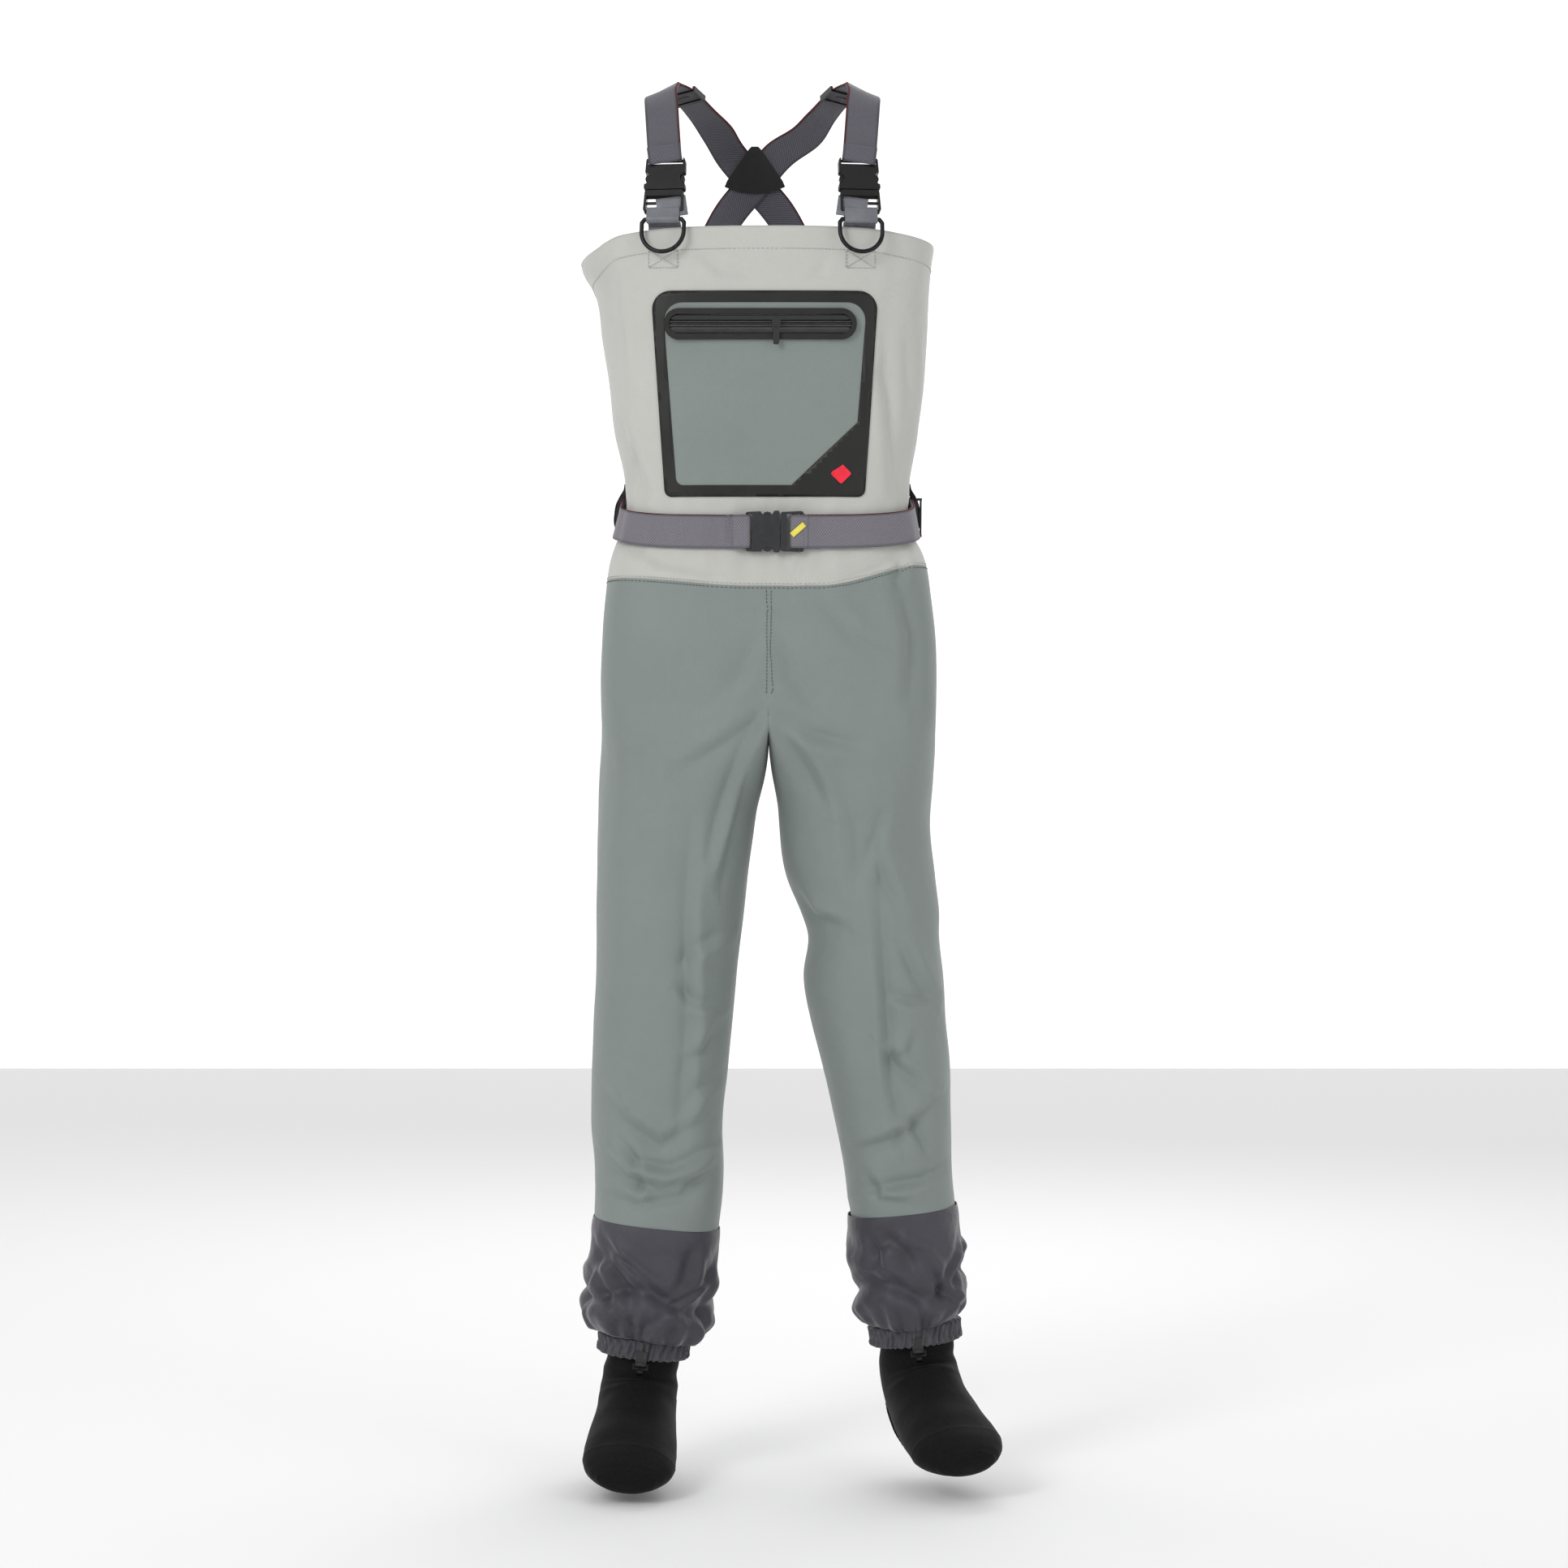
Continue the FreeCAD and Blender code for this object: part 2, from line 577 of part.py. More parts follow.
def shifted(stations, step):
    """Stations moved out to the back by step from the second on, where the two braces cross."""
    moved = [stations[0]]
    for centre, across, out in stations[1:]:
        moved.append(((centre[0], centre[1] - step, centre[2]), across, out))
    return moved


def brace_stations(side):
    """Centre, across and outward directions along one brace: the front part, then the back part."""
    x0, m = (BRACE_X["left"], 1) if side == "left" else (BRACE_X["right"], -1)
    px = PLATE_AT[0]
    top = brace_frame(side).multVec(Vector(0, 0, SOCKET_BAR + 10))
    front = [
        ((top.x, top.y, top.z), (1, -0.14 * m, 0), (0, -0.95, 0.3)),
        ((x0 - 2 * m, -86, -66), (1, -0.10 * m, 0), (0, -0.92, 0.4)),
        ((x0 - 4 * m, -68, -40), (1, -0.08 * m, 0.04 * m), (0, -0.8, 0.6)),
        ((x0 - 5 * m, -42, -21), (0.93, -0.05 * m, 0.30 * m), (-0.2 * m, -0.45, 0.9)),
        ((x0 - 2 * m, -16, -12), (0.86, -0.1 * m, 0.42 * m), (-0.4 * m, -0.1, 0.9)),
    ]
    start = Vector(x0 + 12 * m, 10, -9)
    end = Vector(x0 + 42 * m, 56, -29)
    along = (end - start).normalize()
    across = Vector(0.86, -0.50 * m, 0.13 * m)
    across = (across - along * across.dot(along)).normalize()
    out = across.cross(along) * m
    if out.z < 0:
        out = out * -1
    hold = (tuple(across), tuple(out))
    flat = (0.76, -0.141 * m, 0.634 * m)
    outward = (0, 0.976, 0.217)
    back = [
        front[-1],
        (tuple(start), *hold),
        (tuple(end), *hold),
        ((x0 + 58 * m, 80, -46), (0.83, -0.3 * m, 0.42 * m), (0, 0.8, 0.6)),
        ((px - 28 * m, 109.2, -66), flat, outward),
        ((px, 116.3, -98), flat, outward),
        ((px + 28 * m, 123.4, -130), flat, outward),
        ((px + 62 * m, 130.2, -190), (0.80, -0.05 * m, 0.6 * m), (0.05 * m, 1, 0)),
        ((px + 92 * m, 130.2, -234), (0.82, -0.15 * m, 0.58 * m), (0.15 * m, 1, 0)),
        ((px + 110 * m, 127.0, -262), (0.82, -0.2 * m, 0.57 * m), (0.22 * m, 1, 0)),
    ]
    return front, back


def glide_frame(back):
    """A tri-glide's frame at the start of the brace's straight run behind the shoulder."""
    start, end = Vector(*back[1][0]), Vector(*back[2][0])
    across, out = Vector(*back[1][1]), Vector(*back[1][2])
    along = (end - start).normalize()
    if across.cross(out * -1).dot(along) < 0:
        across = across * -1
    turn = Rotation(across, out * -1, along, "ZYX")
    return Placement(start + along * 13, turn)


def make_back_plate():
    """Two moulded plates riveted together over the place where the braces cross."""
    x, y, z = PLATE_AT
    apex, half = PLATE_APEX, PLATE_HALF
    points = [Vector(-half, 0, -3), Vector(0, 0, -11), Vector(half, 0, -3)]
    base = Part.Arc(*points).toShape()
    sides = Part.makePolygon([points[2], Vector(half - 3, 0, 4), Vector(7, 0, apex - 2), Vector(4, 0, apex + 1),
                              Vector(-4, 0, apex + 1), Vector(-7, 0, apex - 2), Vector(3 - half, 0, 4), points[0]])
    outline = Part.Face(Part.Wire([base] + sides.Edges))
    plate = outline.extrude(Vector(0, PLATE_THICK, 0))
    frame = Placement(Vector(x, y, z), Rotation(Vector(1, 0, 0), PLATE_LEAN))
    spots = [(-half + 5, 0), (half - 5, 0), (0, apex - 6)]
    reach = PLATE_GAP + 2 * PLATE_THICK
    for sx, sz in spots:
        plate = plate.cut(Part.makeCylinder(2.1, 9, Vector(sx, -3, sz), Vector(0, 1, 0)))
        pin = Part.makeCylinder(2.0, reach, Vector(sx, -reach / 2, sz), Vector(0, 1, 0))
        heads = [Part.makeCylinder(3.2, 0.8, Vector(sx, end * (reach / 2 + 0.4) - 0.4, sz), Vector(0, 1, 0))
                 for end in (-1, 1)]
        node("back_plate_rivets", placed(pin.fuse(heads), frame))
    for name, shift in (("back_plate_inner", -PLATE_GAP / 2 - PLATE_THICK), ("back_plate_outer", PLATE_GAP / 2)):
        node(name, placed(placed(plate, Placement(Vector(0, shift, 0), Rotation())), frame))


# --- Belt -----------------------------------------------------------------------------------------


def belt_slab():
    """The band of space that the belt fills: it hangs lower in front than at the sides."""
    block = box((-400, -300, -WEBBING / 2), (400, 300, WEBBING / 2))
    return placed(block, Placement(Vector(0, 0, BELT_MID), Rotation(Vector(1, 0, 0), BELT_SLOPE)))


def belt_layer(level):
    """One layer of belt all round the waist, level layers out from the cloth."""
    inner = BELT_INNER + level * BELT_LAYER
    return belt_slab().common(trunk_solid(inner + BELT_LAYER - 0.1)).cut(trunk_solid(inner))


def belt_path(level):
    """Stations along the drawn half, from the buckle round the right side to its sewn end."""
    points = [(BELT_END_RIGHT, -FRONT_REACH), (95, -FRONT_REACH), (122, -110.5), (143, -102), (158, -89),
              (167.5, -71), (SIDE_REACH, -50), (SIDE_REACH, BELT_JOIN)]
    stations = []
    slope = math.tan(math.radians(BELT_SLOPE))
    up = (0, -math.sin(math.radians(BELT_SLOPE)), math.cos(math.radians(BELT_SLOPE)))
    for i, (x, y) in enumerate(points):
        before, after = points[max(i - 1, 0)], points[min(i + 1, len(points) - 1)]
        out = Vector(after[1] - before[1], before[0] - after[0], 0).normalize()
        centre = Vector(x, y, 0) + out * (level * BELT_LAYER)
        stations.append(((centre.x, centre.y, BELT_MID + centre.y * slope), up, tuple(out)))
    return stations


def make_belt():
    """The belt's long half, its drawn half with the turned-back end, buckle, tri-glide and loops."""
    first = belt_layer(0)
    drawn = box((BELT_END_RIGHT, -300, -700), (400, BELT_JOIN + 4, -300))
    buckle_gap = box((BELT_END_LEFT, -300, -700), (BELT_END_RIGHT, 0, -300))
    node("belt_long_half", first.cut(drawn).cut(buckle_gap))
    outer = belt_path(1)[:-1]
    outer[-1] = ((outer[-1][0][0], -13.0, BELT_MID - 13 * math.tan(math.radians(BELT_SLOPE))), *outer[-1][1:])
    node("belt_drawn_half", ribbon(belt_path(0)).cut(trunk_solid(0.2)), ribbon(outer).cut(trunk_solid(0.2)))
    dx, depth, _ = BELT_BUCKLE_AT
    ends = (
        ("belt_long_half", SOCKET_BAR, 1, dx - BELT_END_LEFT, -109.5 - BELT_INNER - BELT_LAYER / 2),
        ("belt_drawn_half", PLUG_MIDDLE_BAR, -1, dx - BELT_END_RIGHT, -FRONT_REACH),
    )
    for name, bar, way, reach, face in ends:
        far = bar + way * 3.5
        loop = bar_loop(0, min(bar, far), max(bar, far), BAR_RADIUS + 0.3, WEBBING_THICK, WEBBING - 1)
        lead = strip([(2.8, bar + way * 3.5), (3.3, bar + way * 7), (3.4, bar + way * 12), (face - depth, reach)],
                     WEBBING_THICK, WEBBING - 1)
        node(name, placed(loop, BELT_FRAME), placed(lead, BELT_FRAME).cut(trunk_solid(0.2)))
    node("belt_socket", placed(socket_half(), BELT_FRAME))
    node("belt_plug", placed(plug_half(), BELT_FRAME))
    node("belt_latch_upper", placed(latch(1), BELT_FRAME))
    node("belt_latch_lower", placed(latch(-1), BELT_FRAME))

    tilt = Rotation(Vector(1, 0, 0), BELT_SLOPE)
    turn = tilt.multiply(Rotation(Vector(0, 0, 1), Vector(-1, 0, 0), Vector(0, 1, 0), "ZYX"))
    node("belt_adjuster", placed(tri_glide(), Placement(Vector(SIDE_REACH, 2.0, BELT_MID + 0.5), turn)))

    for x, y, yaw in ((-1, 14, 90), (1, 62, -78), (-0.32, 0, 0), (0.34, 0, 0)):
        node("belt_loops", belt_loop(x, y, yaw))


def trunk_side(height):
    """Half width of the trunk at a height, from the rings either side."""
    for (z0, x0, a0, _), (z1, x1, a1, _) in zip(TRUNK_RINGS, TRUNK_RINGS[1:]):
        if z1 <= height <= z0:
            share = (height - z0) / (z1 - z0)
            return x0 + a0 + share * (x1 + a1 - x0 - a0)
    return 0.0


def belt_loop(x_share, y, yaw):
    """A strip sewn above and below the belt that stands off it."""
    half = LOOP_HEIGHT / 2
    out = LOOP_STAND
    points = [(0.9, half), (5, half * 0.86), (out * 0.92, half * 0.62), (out, 0), (out * 0.92, -half * 0.62),
              (5, -half * 0.86), (0.9, -half)]
    shape = strip(points, 1.4, LOOP_WIDE)
    waist = TRUNK_RINGS[5]
    if y:
        reach = (1 - (y / waist[3]) ** ROUND_BACK) ** (1 / ROUND_BACK)
        at = Vector(waist[1] + x_share * (waist[2] * reach + 0.6), y, BELT_MID + y * math.tan(math.radians(BELT_SLOPE)))
    else:
        reach = (1 - abs(x_share) ** ROUND_BACK) ** (1 / ROUND_BACK)
        at = Vector(waist[1] + x_share * waist[2], waist[3] * reach + 0.4, BELT_MID + 24)
    return placed(shape, Placement(at, Rotation(Vector(0, 0, 1), yaw))).cut(trunk_solid(0.2))


# --- Gravel guards and feet -----------------------------------------------------------------------


def leg_frame(side):
    """The frame at the end of one leg, leaning with the guard."""
    x, z, _, _ = LEG_END[side]
    return Placement(Vector(x, 0, z), Rotation(Vector(0, 1, 0), LEG_TILT[side]))


def guard_solid(side, grow):
    """The filled gravel guard: it puffs out above its gathered mouth."""
    _, _, a, b = LEG_END[side]
    rings = [(12, a, b), (-32, a, b), (-64, a, b), (-90, a - 3, b - 3), (-112, a - 11, b - 11), (-GUARD_LENGTH, *GUARD_MOUTH)]
    return Part.makeLoft([oval(0, z, ra + grow, rb + grow, 2.2, 2.2) for z, ra, rb in rings], True, False)


def ring_band(low, high, inner, outer):
    """An oval ring between two heights."""
    solids = [Part.makeLoft([oval(0, low, *r), oval(0, high, *r)], True, True) for r in (outer, inner)]
    return solids[0].cut(solids[1])


def foot_solid(grow):
    """The filled foot in the ankle's frame, toe along -Y and down."""
    wires = []
    for forward, down, lean, a, b in FOOT_RINGS:
        ring = oval(0, 0, a + grow, b + grow)
        turn = Rotation(Vector(1, 0, 0), -lean)
        wires.append(placed(ring, Placement(Vector(0, -forward, down), turn)))
    return Part.makeLoft(wires, True, False)


def make_leg_end(side):
    """Gravel guard, its gathered hem and lace hook, and the neoprene neck and foot."""
    frame = leg_frame(side)
    guard = guard_solid(side, 0).cut(guard_solid(side, -GUARD_THICK))
    guard = placed(guard.common(box((-200, -200, -GUARD_LENGTH + 0.2), (200, 200, 20))), frame)
    node(f"{side}_gravel_guard", guard.common(slab(-1600, LEG_END[side][1] - 0.1)))
    low = -GUARD_LENGTH - HEM_BAND
    band = ring_band(low, -GUARD_LENGTH, HEM_INNER, HEM_OUTER)
    tab_y = -HEM_OUTER[1] - 1.6
    tab = box((-6, tab_y, low - 2), (6, tab_y + 2.4, low + 9))
    knuckle = Part.makeCylinder(2.6, 12, Vector(-6, tab_y + 0.2, low - 4), Vector(1, 0, 0))
    eye = Part.makeCylinder(1.3, 30, Vector(-15, tab_y + 0.2, low - 4), Vector(1, 0, 0))
    node(f"{side}_guard_hem", placed(band.fuse([tab, knuckle]).cut(eye), frame))

    pin = Part.makeCylinder(1.2, 18, Vector(-9, tab_y + 0.2, low - 4), Vector(1, 0, 0))
    arms = [box((s * 8 - 1, tab_y - 1.4, low - 9), (s * 8 + 1, tab_y + 0.8, low - 3)) for s in (-1, 1)]
    cross = box((-9, tab_y - 1.4, low - 10), (9, tab_y + 0.8, low - 7.8))
    hook = strip([(tab_y - 0.4, low - 9), (tab_y - 0.9, low - 12.5), (tab_y - 3.4, low - 15), (tab_y - 6, low - 12.8),
                  (tab_y - 6, low - 9.5)], 1.8, 6)
    node(f"{side}_lace_hook", placed(pin.fuse(arms + [cross, hook]), frame))

    _, _, a, b = LEG_END[side]
    neck_rings = [(-9, (a - 4, b - 4)), (-24, (a * 0.83, b * 0.85)), (-46, (50, 54)), (-74, (44.5, 49)),
                  (-100, (44, 48)), (-128, (43.4, 47.4)), (FOOT_TOP + 0.6, NECK_END)]
    walls = [Part.makeLoft([oval(0, z, a + g, b + g) for z, (a, b) in neck_rings], True, False) for g in (0, -NEOPRENE)]
    node(f"{side}_bootie_neck", placed(walls[0].cut(walls[1]), frame))

    ankle = frame.multiply(Placement(Vector(0, 0, FOOT_TOP), Rotation(Vector(0, 0, 1), FOOT_YAW[side])))
    upper = foot_solid(0).cut(foot_solid(-NEOPRENE))
    node(f"{side}_bootie_foot", placed(upper, ankle))
    under = Part.makeBox(300, 500, 300, Vector(-150, -250, -300))
    under = placed(under, Placement(Vector(0, -70, SOLE_PLANE), Rotation(Vector(1, 0, 0), SOLE_SLOPE)))
    sole = foot_solid(SOLE_THICK).cut(foot_solid(0)).common(under)
    node(f"{side}_bootie_sole", placed(sole, ankle))


def main():
    """Builds every node and writes it out."""
    make_cloth()
    make_pocket()
    make_zip()
    make_braces()
    make_back_plate()
    make_belt()
    for side in ("left", "right"):
        make_leg_end(side)
    os.makedirs("parts", exist_ok=True)
    for name, solids in NODES.items():
        shape = solids[0].fuse(solids[1:]) if len(solids) > 1 else solids[0]
        shape = Part.makeCompound(shape.Solids) if len(shape.Solids) > 1 else shape.Solids[0]
        shape.exportStep(f"parts/{name}.step")
        print(name, len(shape.Solids), round(shape.Volume), shape.isValid())


main()
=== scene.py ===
"""Chest waders: woven-laminate bib and legs, braces, belt, zipped pocket, gravel guards and neoprene feet."""
import logging
import math
from dataclasses import dataclass, field
from enum import Enum
from typing import Callable, ClassVar, Optional, Sequence

import bmesh
import bpy
import numpy as np
from mathutils import Matrix, Vector, noise
from mathutils.bvhtree import BVHTree


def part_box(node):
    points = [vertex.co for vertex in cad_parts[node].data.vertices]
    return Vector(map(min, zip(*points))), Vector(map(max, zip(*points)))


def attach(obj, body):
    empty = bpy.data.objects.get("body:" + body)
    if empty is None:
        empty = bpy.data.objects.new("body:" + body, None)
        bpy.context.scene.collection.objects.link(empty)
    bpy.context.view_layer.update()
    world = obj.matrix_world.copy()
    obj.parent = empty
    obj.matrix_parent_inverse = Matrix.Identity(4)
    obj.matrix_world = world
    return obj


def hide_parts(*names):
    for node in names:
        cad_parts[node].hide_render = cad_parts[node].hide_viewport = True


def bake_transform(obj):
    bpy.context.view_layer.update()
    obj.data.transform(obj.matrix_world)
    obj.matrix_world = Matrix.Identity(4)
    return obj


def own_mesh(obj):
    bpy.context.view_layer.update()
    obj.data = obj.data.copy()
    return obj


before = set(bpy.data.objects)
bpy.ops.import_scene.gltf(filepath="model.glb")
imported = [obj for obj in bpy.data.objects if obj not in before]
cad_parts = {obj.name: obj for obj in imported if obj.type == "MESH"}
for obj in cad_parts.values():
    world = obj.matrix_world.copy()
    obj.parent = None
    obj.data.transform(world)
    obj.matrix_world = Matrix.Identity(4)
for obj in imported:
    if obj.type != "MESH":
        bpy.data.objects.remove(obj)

LOG = logging.getLogger("waders")
Point = tuple[float, float, float]
Ring = tuple[float, float, float, float]


# --- Numbers and meshes ----------------------------------------------------------------------------


class Side(Enum):
    """Which side of the object, as seen from the front."""

    LEFT = "left"
    RIGHT = "right"

    @property
    def sign(self) -> int:
        """-1 on the left, 1 on the right."""
        return -1 if self is Side.LEFT else 1


def smooth(t: np.ndarray) -> np.ndarray:
    """Ease from 0 to 1."""
    t = np.clip(t, 0.0, 1.0)
    return t * t * (3.0 - 2.0 * t)


def follow(table: Sequence[Sequence[float]], at: np.ndarray, column: int) -> np.ndarray:
    """Read one column of a table of stations along a smooth curve.

    Args:
        table: Stations whose first number rises or falls steadily.
        at: Where to read, in the first column's unit.
        column: Which column to read.

    Returns:
        The column's value at each place.
    """
    rows = sorted(tuple(r) for r in table)
    x = np.array([r[0] for r in rows])
    y = np.array([r[column] for r in rows])
    slope = np.gradient(y, x)
    i = np.clip(np.searchsorted(x, at) - 1, 0, len(x) - 2)
    h = x[i + 1] - x[i]
    t = np.clip((at - x[i]) / h, 0.0, 1.0)
    a, b = 2 * t**3 - 3 * t**2 + 1, t**3 - 2 * t**2 + t
    c, d = -2 * t**3 + 3 * t**2, t**3 - t**2
    return a * y[i] + b * h * slope[i] + c * y[i + 1] + d * h * slope[i + 1]


def oval(
        turn: np.ndarray, half_width: np.ndarray, half_depth: np.ndarray, front: float, back: float
) -> tuple:
    """Points of a rounded-square ring, squarer for a higher power.

    Args:
        turn: Angles from +X towards +Y, in radians.
        half_width: Half the ring's width.
        half_depth: Half the ring's depth.
        front: Power of the half that faces -Y.
        back: Power of the half that faces +Y.

    Returns:
        X and Y of each point about the ring's middle.
    """
    c, s = np.cos(turn), np.sin(turn)
    power = np.where(s < 0, front, back)
    reach = (np.abs(c) ** power + np.abs(s) ** power) ** (-1.0 / power)
    return half_width * reach * c, half_depth * reach * s


def grid(
        columns: int, rows: int, place: Callable[[np.ndarray, np.ndarray], np.ndarray],
        wrap: bool = False
) -> bmesh.types.BMesh:
    """A sheet of quads whose corners are carried to their places.

    Args:
        columns: Quads across.
        rows: Quads along.
        place: Gives positions for arrays of across and along, each from 0 to 1.
        wrap: Whether the first and last columns meet and are welded.

    Returns:
        The mesh, with a UV map of across and along.
    """
    bm = bmesh.new()
    bmesh.ops.create_grid(bm, x_segments=columns, y_segments=rows, size=1.0)
    bm.verts.index_update()
    across = np.array([(v.co.x + 1) / 2 for v in bm.verts])
    along = np.array([(v.co.y + 1) / 2 for v in bm.verts])
    uv = bm.loops.layers.uv.new("cloth")
    for face in bm.faces:
        for loop in face.loops:
            i = loop.vert.index
            loop[uv].uv = (across[i], along[i])
    for vert, co in zip(bm.verts, place(across, along)):
        vert.co = co
    if wrap:
        bmesh.ops.remove_doubles(bm, verts=bm.verts[:], dist=1e-6)
    return bm


def piece(
        bm: bmesh.types.BMesh, name: str, material: bpy.types.Material, body: str,
        smooth_shade: bool = True
) -> bpy.types.Object:
    """Turn a mesh into a named piece.

    Args:
        bm: The mesh, which is used up.
        name: The piece's name.
        material: Its finish.
        body: The body it rides on, or an empty string if it bends between two.
        smooth_shade: Whether its faces are shaded as one surface.

    Returns:
        The new object.
    """
    for face in bm.faces:
        face.smooth = smooth_shade
    mesh = bpy.data.meshes.new(name)
    bm.to_mesh(mesh)
    bm.free()
    obj = bpy.data.objects.new(name, mesh)
    bpy.context.collection.objects.link(obj)
    mesh.materials.append(material)
    if body:
        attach(obj, body)
    LOG.info("%s: %d faces", name, len(mesh.polygons))
    return obj


def thicken(obj: bpy.types.Object, depth: float, offset: float = -1.0, rim: bool = True) -> None:
    """Give a sheet its thickness with a Solidify modifier."""
    mod = obj.modifiers.new("thickness", "SOLIDIFY")
    mod.thickness = depth
    mod.offset = offset
    mod.use_even_offset = False
    mod.use_rim = rim


def face_out(bm: bmesh.types.BMesh) -> None:
    """Make a closed mesh's faces point outwards."""
    bmesh.ops.recalc_face_normals(bm, faces=bm.faces[:])


# --- Finishes --------------------------------------------------------------------------------------


class Board:
    """A material's node board, with short calls for the nodes that the finishes share."""

    def __init__(self, name: str) -> None:
        """Start a material with a bare Principled shader."""
        self.material = bpy.data.materials.new(name)
        self.material.use_nodes = True
        self.tree = self.material.node_tree
        self.shader = self.tree.nodes["Principled BSDF"]
        self.place = self.tree.nodes.new("ShaderNodeTexCoord")

    def node(self, kind: str, **inputs: object) -> bpy.types.Node:
        """Add a node and set or link its inputs by name, with spaces written as underscores."""
        made = self.tree.nodes.new(kind)
        for key, value in inputs.items():
            name = key.replace("_", " ")
            if hasattr(made, key) and name not in made.inputs:
                setattr(made, key, value)
                continue
            socket = made.inputs[name]
            if isinstance(value, bpy.types.NodeSocket):
                self.tree.links.new(value, socket)
            else:
                socket.default_value = value
        return made

    def math(self, operation: str, a: object, b: object = 0.0) -> bpy.types.NodeSocket:
        """One Math node's result."""
        made = self.tree.nodes.new("ShaderNodeMath")
        made.operation = operation
        for socket, value in zip(made.inputs, (a, b)):
            if isinstance(value, bpy.types.NodeSocket):
                self.tree.links.new(value, socket)
            else:
                socket.default_value = value
        return made.outputs[0]

    def scaled(
            self, source: bpy.types.NodeSocket, scale: Point, turn: Point = (0, 0, 0)
    ) -> bpy.types.NodeSocket:
        """Coordinates stretched and turned by a Mapping node."""
        made = self.tree.nodes.new("ShaderNodeMapping")
        self.tree.links.new(source, made.inputs["Vector"])
        made.inputs["Scale"].default_value = scale
        made.inputs["Rotation"].default_value = turn
        return made.outputs[0]

    def noise(
            self, scale: float, detail: float = 3.0, source: Optional[bpy.types.NodeSocket] = None
    ) -> bpy.types.NodeSocket:
        """Noise over the piece, read in metres."""
        made = self.node("ShaderNodeTexNoise", Scale=scale, Detail=detail)
        self.tree.links.new(source or self.place.outputs["Object"], made.inputs["Vector"])
        return made.outputs["Fac"]

    def ramp(
            self, value: bpy.types.NodeSocket, low: float, high: float, a: Sequence[float],
            b: Sequence[float]
    ) -> bpy.types.NodeSocket:
        """A colour that runs from a to b as value goes from low to high."""
        made = self.tree.nodes.new("ShaderNodeValToRGB")
        self.tree.links.new(value, made.inputs["Fac"])
        made.color_ramp.elements[0].position = low
        made.color_ramp.elements[1].position = high
        made.color_ramp.elements[0].color = (*a, 1)
        made.color_ramp.elements[1].color = (*b, 1)
        return made.outputs["Color"]

    def bump(
            self, height: bpy.types.NodeSocket, strength: float, distance: float,
            under: Optional[bpy.types.NodeSocket] = None
    ) -> bpy.types.NodeSocket:
        """A normal roughened by height, laid over another one."""
        made = self.node("ShaderNodeBump", Strength=strength, Distance=distance, Height=height)
        if under is not None:
            self.tree.links.new(under, made.inputs["Normal"])
        return made.outputs["Normal"]

    def finish(
            self, colour: bpy.types.NodeSocket, rough: object,
            normal: Optional[bpy.types.NodeSocket], **constants: float
    ) -> bpy.types.Material:
        """Wire the shader and set its constant sockets."""
        self.tree.links.new(colour, self.shader.inputs["Base Color"])
        if isinstance(rough, bpy.types.NodeSocket):
            self.tree.links.new(rough, self.shader.inputs["Roughness"])
        else:
            self.shader.inputs["Roughness"].default_value = rough
        if normal is not None:
            self.tree.links.new(normal, self.shader.inputs["Normal"])
        for key, value in constants.items():
            self.shader.inputs[key.replace("_", " ")].default_value = value
        return self.material


def tone(colour: Sequence[float], factor: float) -> tuple:
    """A colour made lighter or darker."""
    return tuple(min(1.0, c * factor) for c in colour)


@dataclass(frozen=True)
class Laminate:
    """Woven face cloth bonded to a membrane: fine plain weave, faint bloom, a little satin."""

    name: str
    colour: tuple[float, float, float]
    rough: float = 0.62
    weave: float = 0.0009
    sheen: float = 0.12
    mottle: float = 0.06

    def build(self) -> bpy.types.Material:
        """Make the material."""
        b = Board(self.name)
        at = b.place.outputs["Object"]
        warp = b.node("ShaderNodeTexWave", wave_type="BANDS", bands_direction="X", Scale=1.0, Distortion=0.4,
                      Vector=b.scaled(at, (1 / self.weave / 6.28, 1 / self.weave / 6.28, 0.0)))
        weft = b.node("ShaderNodeTexWave", wave_type="BANDS", bands_direction="Z", Scale=1.0, Distortion=0.4,
                      Vector=b.scaled(at, (0.0, 0.0, 1 / self.weave / 6.28)))
        cloth = b.math("MULTIPLY", warp.outputs["Fac"], weft.outputs["Fac"])
        cloud, grime = b.noise(9.0, 5.0), b.noise(70.0, 4.0)
        shade = b.math("ADD", b.math("MULTIPLY", cloud, 0.7), b.math("MULTIPLY", grime, 0.3))
        colour = b.ramp(
            shade, 0.3, 0.7, tone(self.colour, 1 - self.mottle), tone(self.colour, 1 + self.mottle)
        )
        threads = b.node("ShaderNodeMix", data_type="RGBA", blend_type="MULTIPLY")
        threads.inputs[0].default_value = 0.12
        b.tree.links.new(colour, threads.inputs[6])
        b.tree.links.new(b.ramp(cloth, 0.0, 0.6, (0.6, 0.6, 0.6), (1, 1, 1)), threads.inputs[7])
        rough = b.math("ADD", b.math("MULTIPLY", grime, 0.16), self.rough - 0.08)
        crumple = b.bump(b.noise(38.0, 5.0), 0.35, 0.004)
        normal = b.bump(cloth, 0.25, self.weave * 0.25, crumple)
        return b.finish(
            threads.outputs[2], rough, normal, Sheen_Weight=self.sheen, Sheen_Roughness=0.45,
            Specular_IOR_Level=0.35
        )


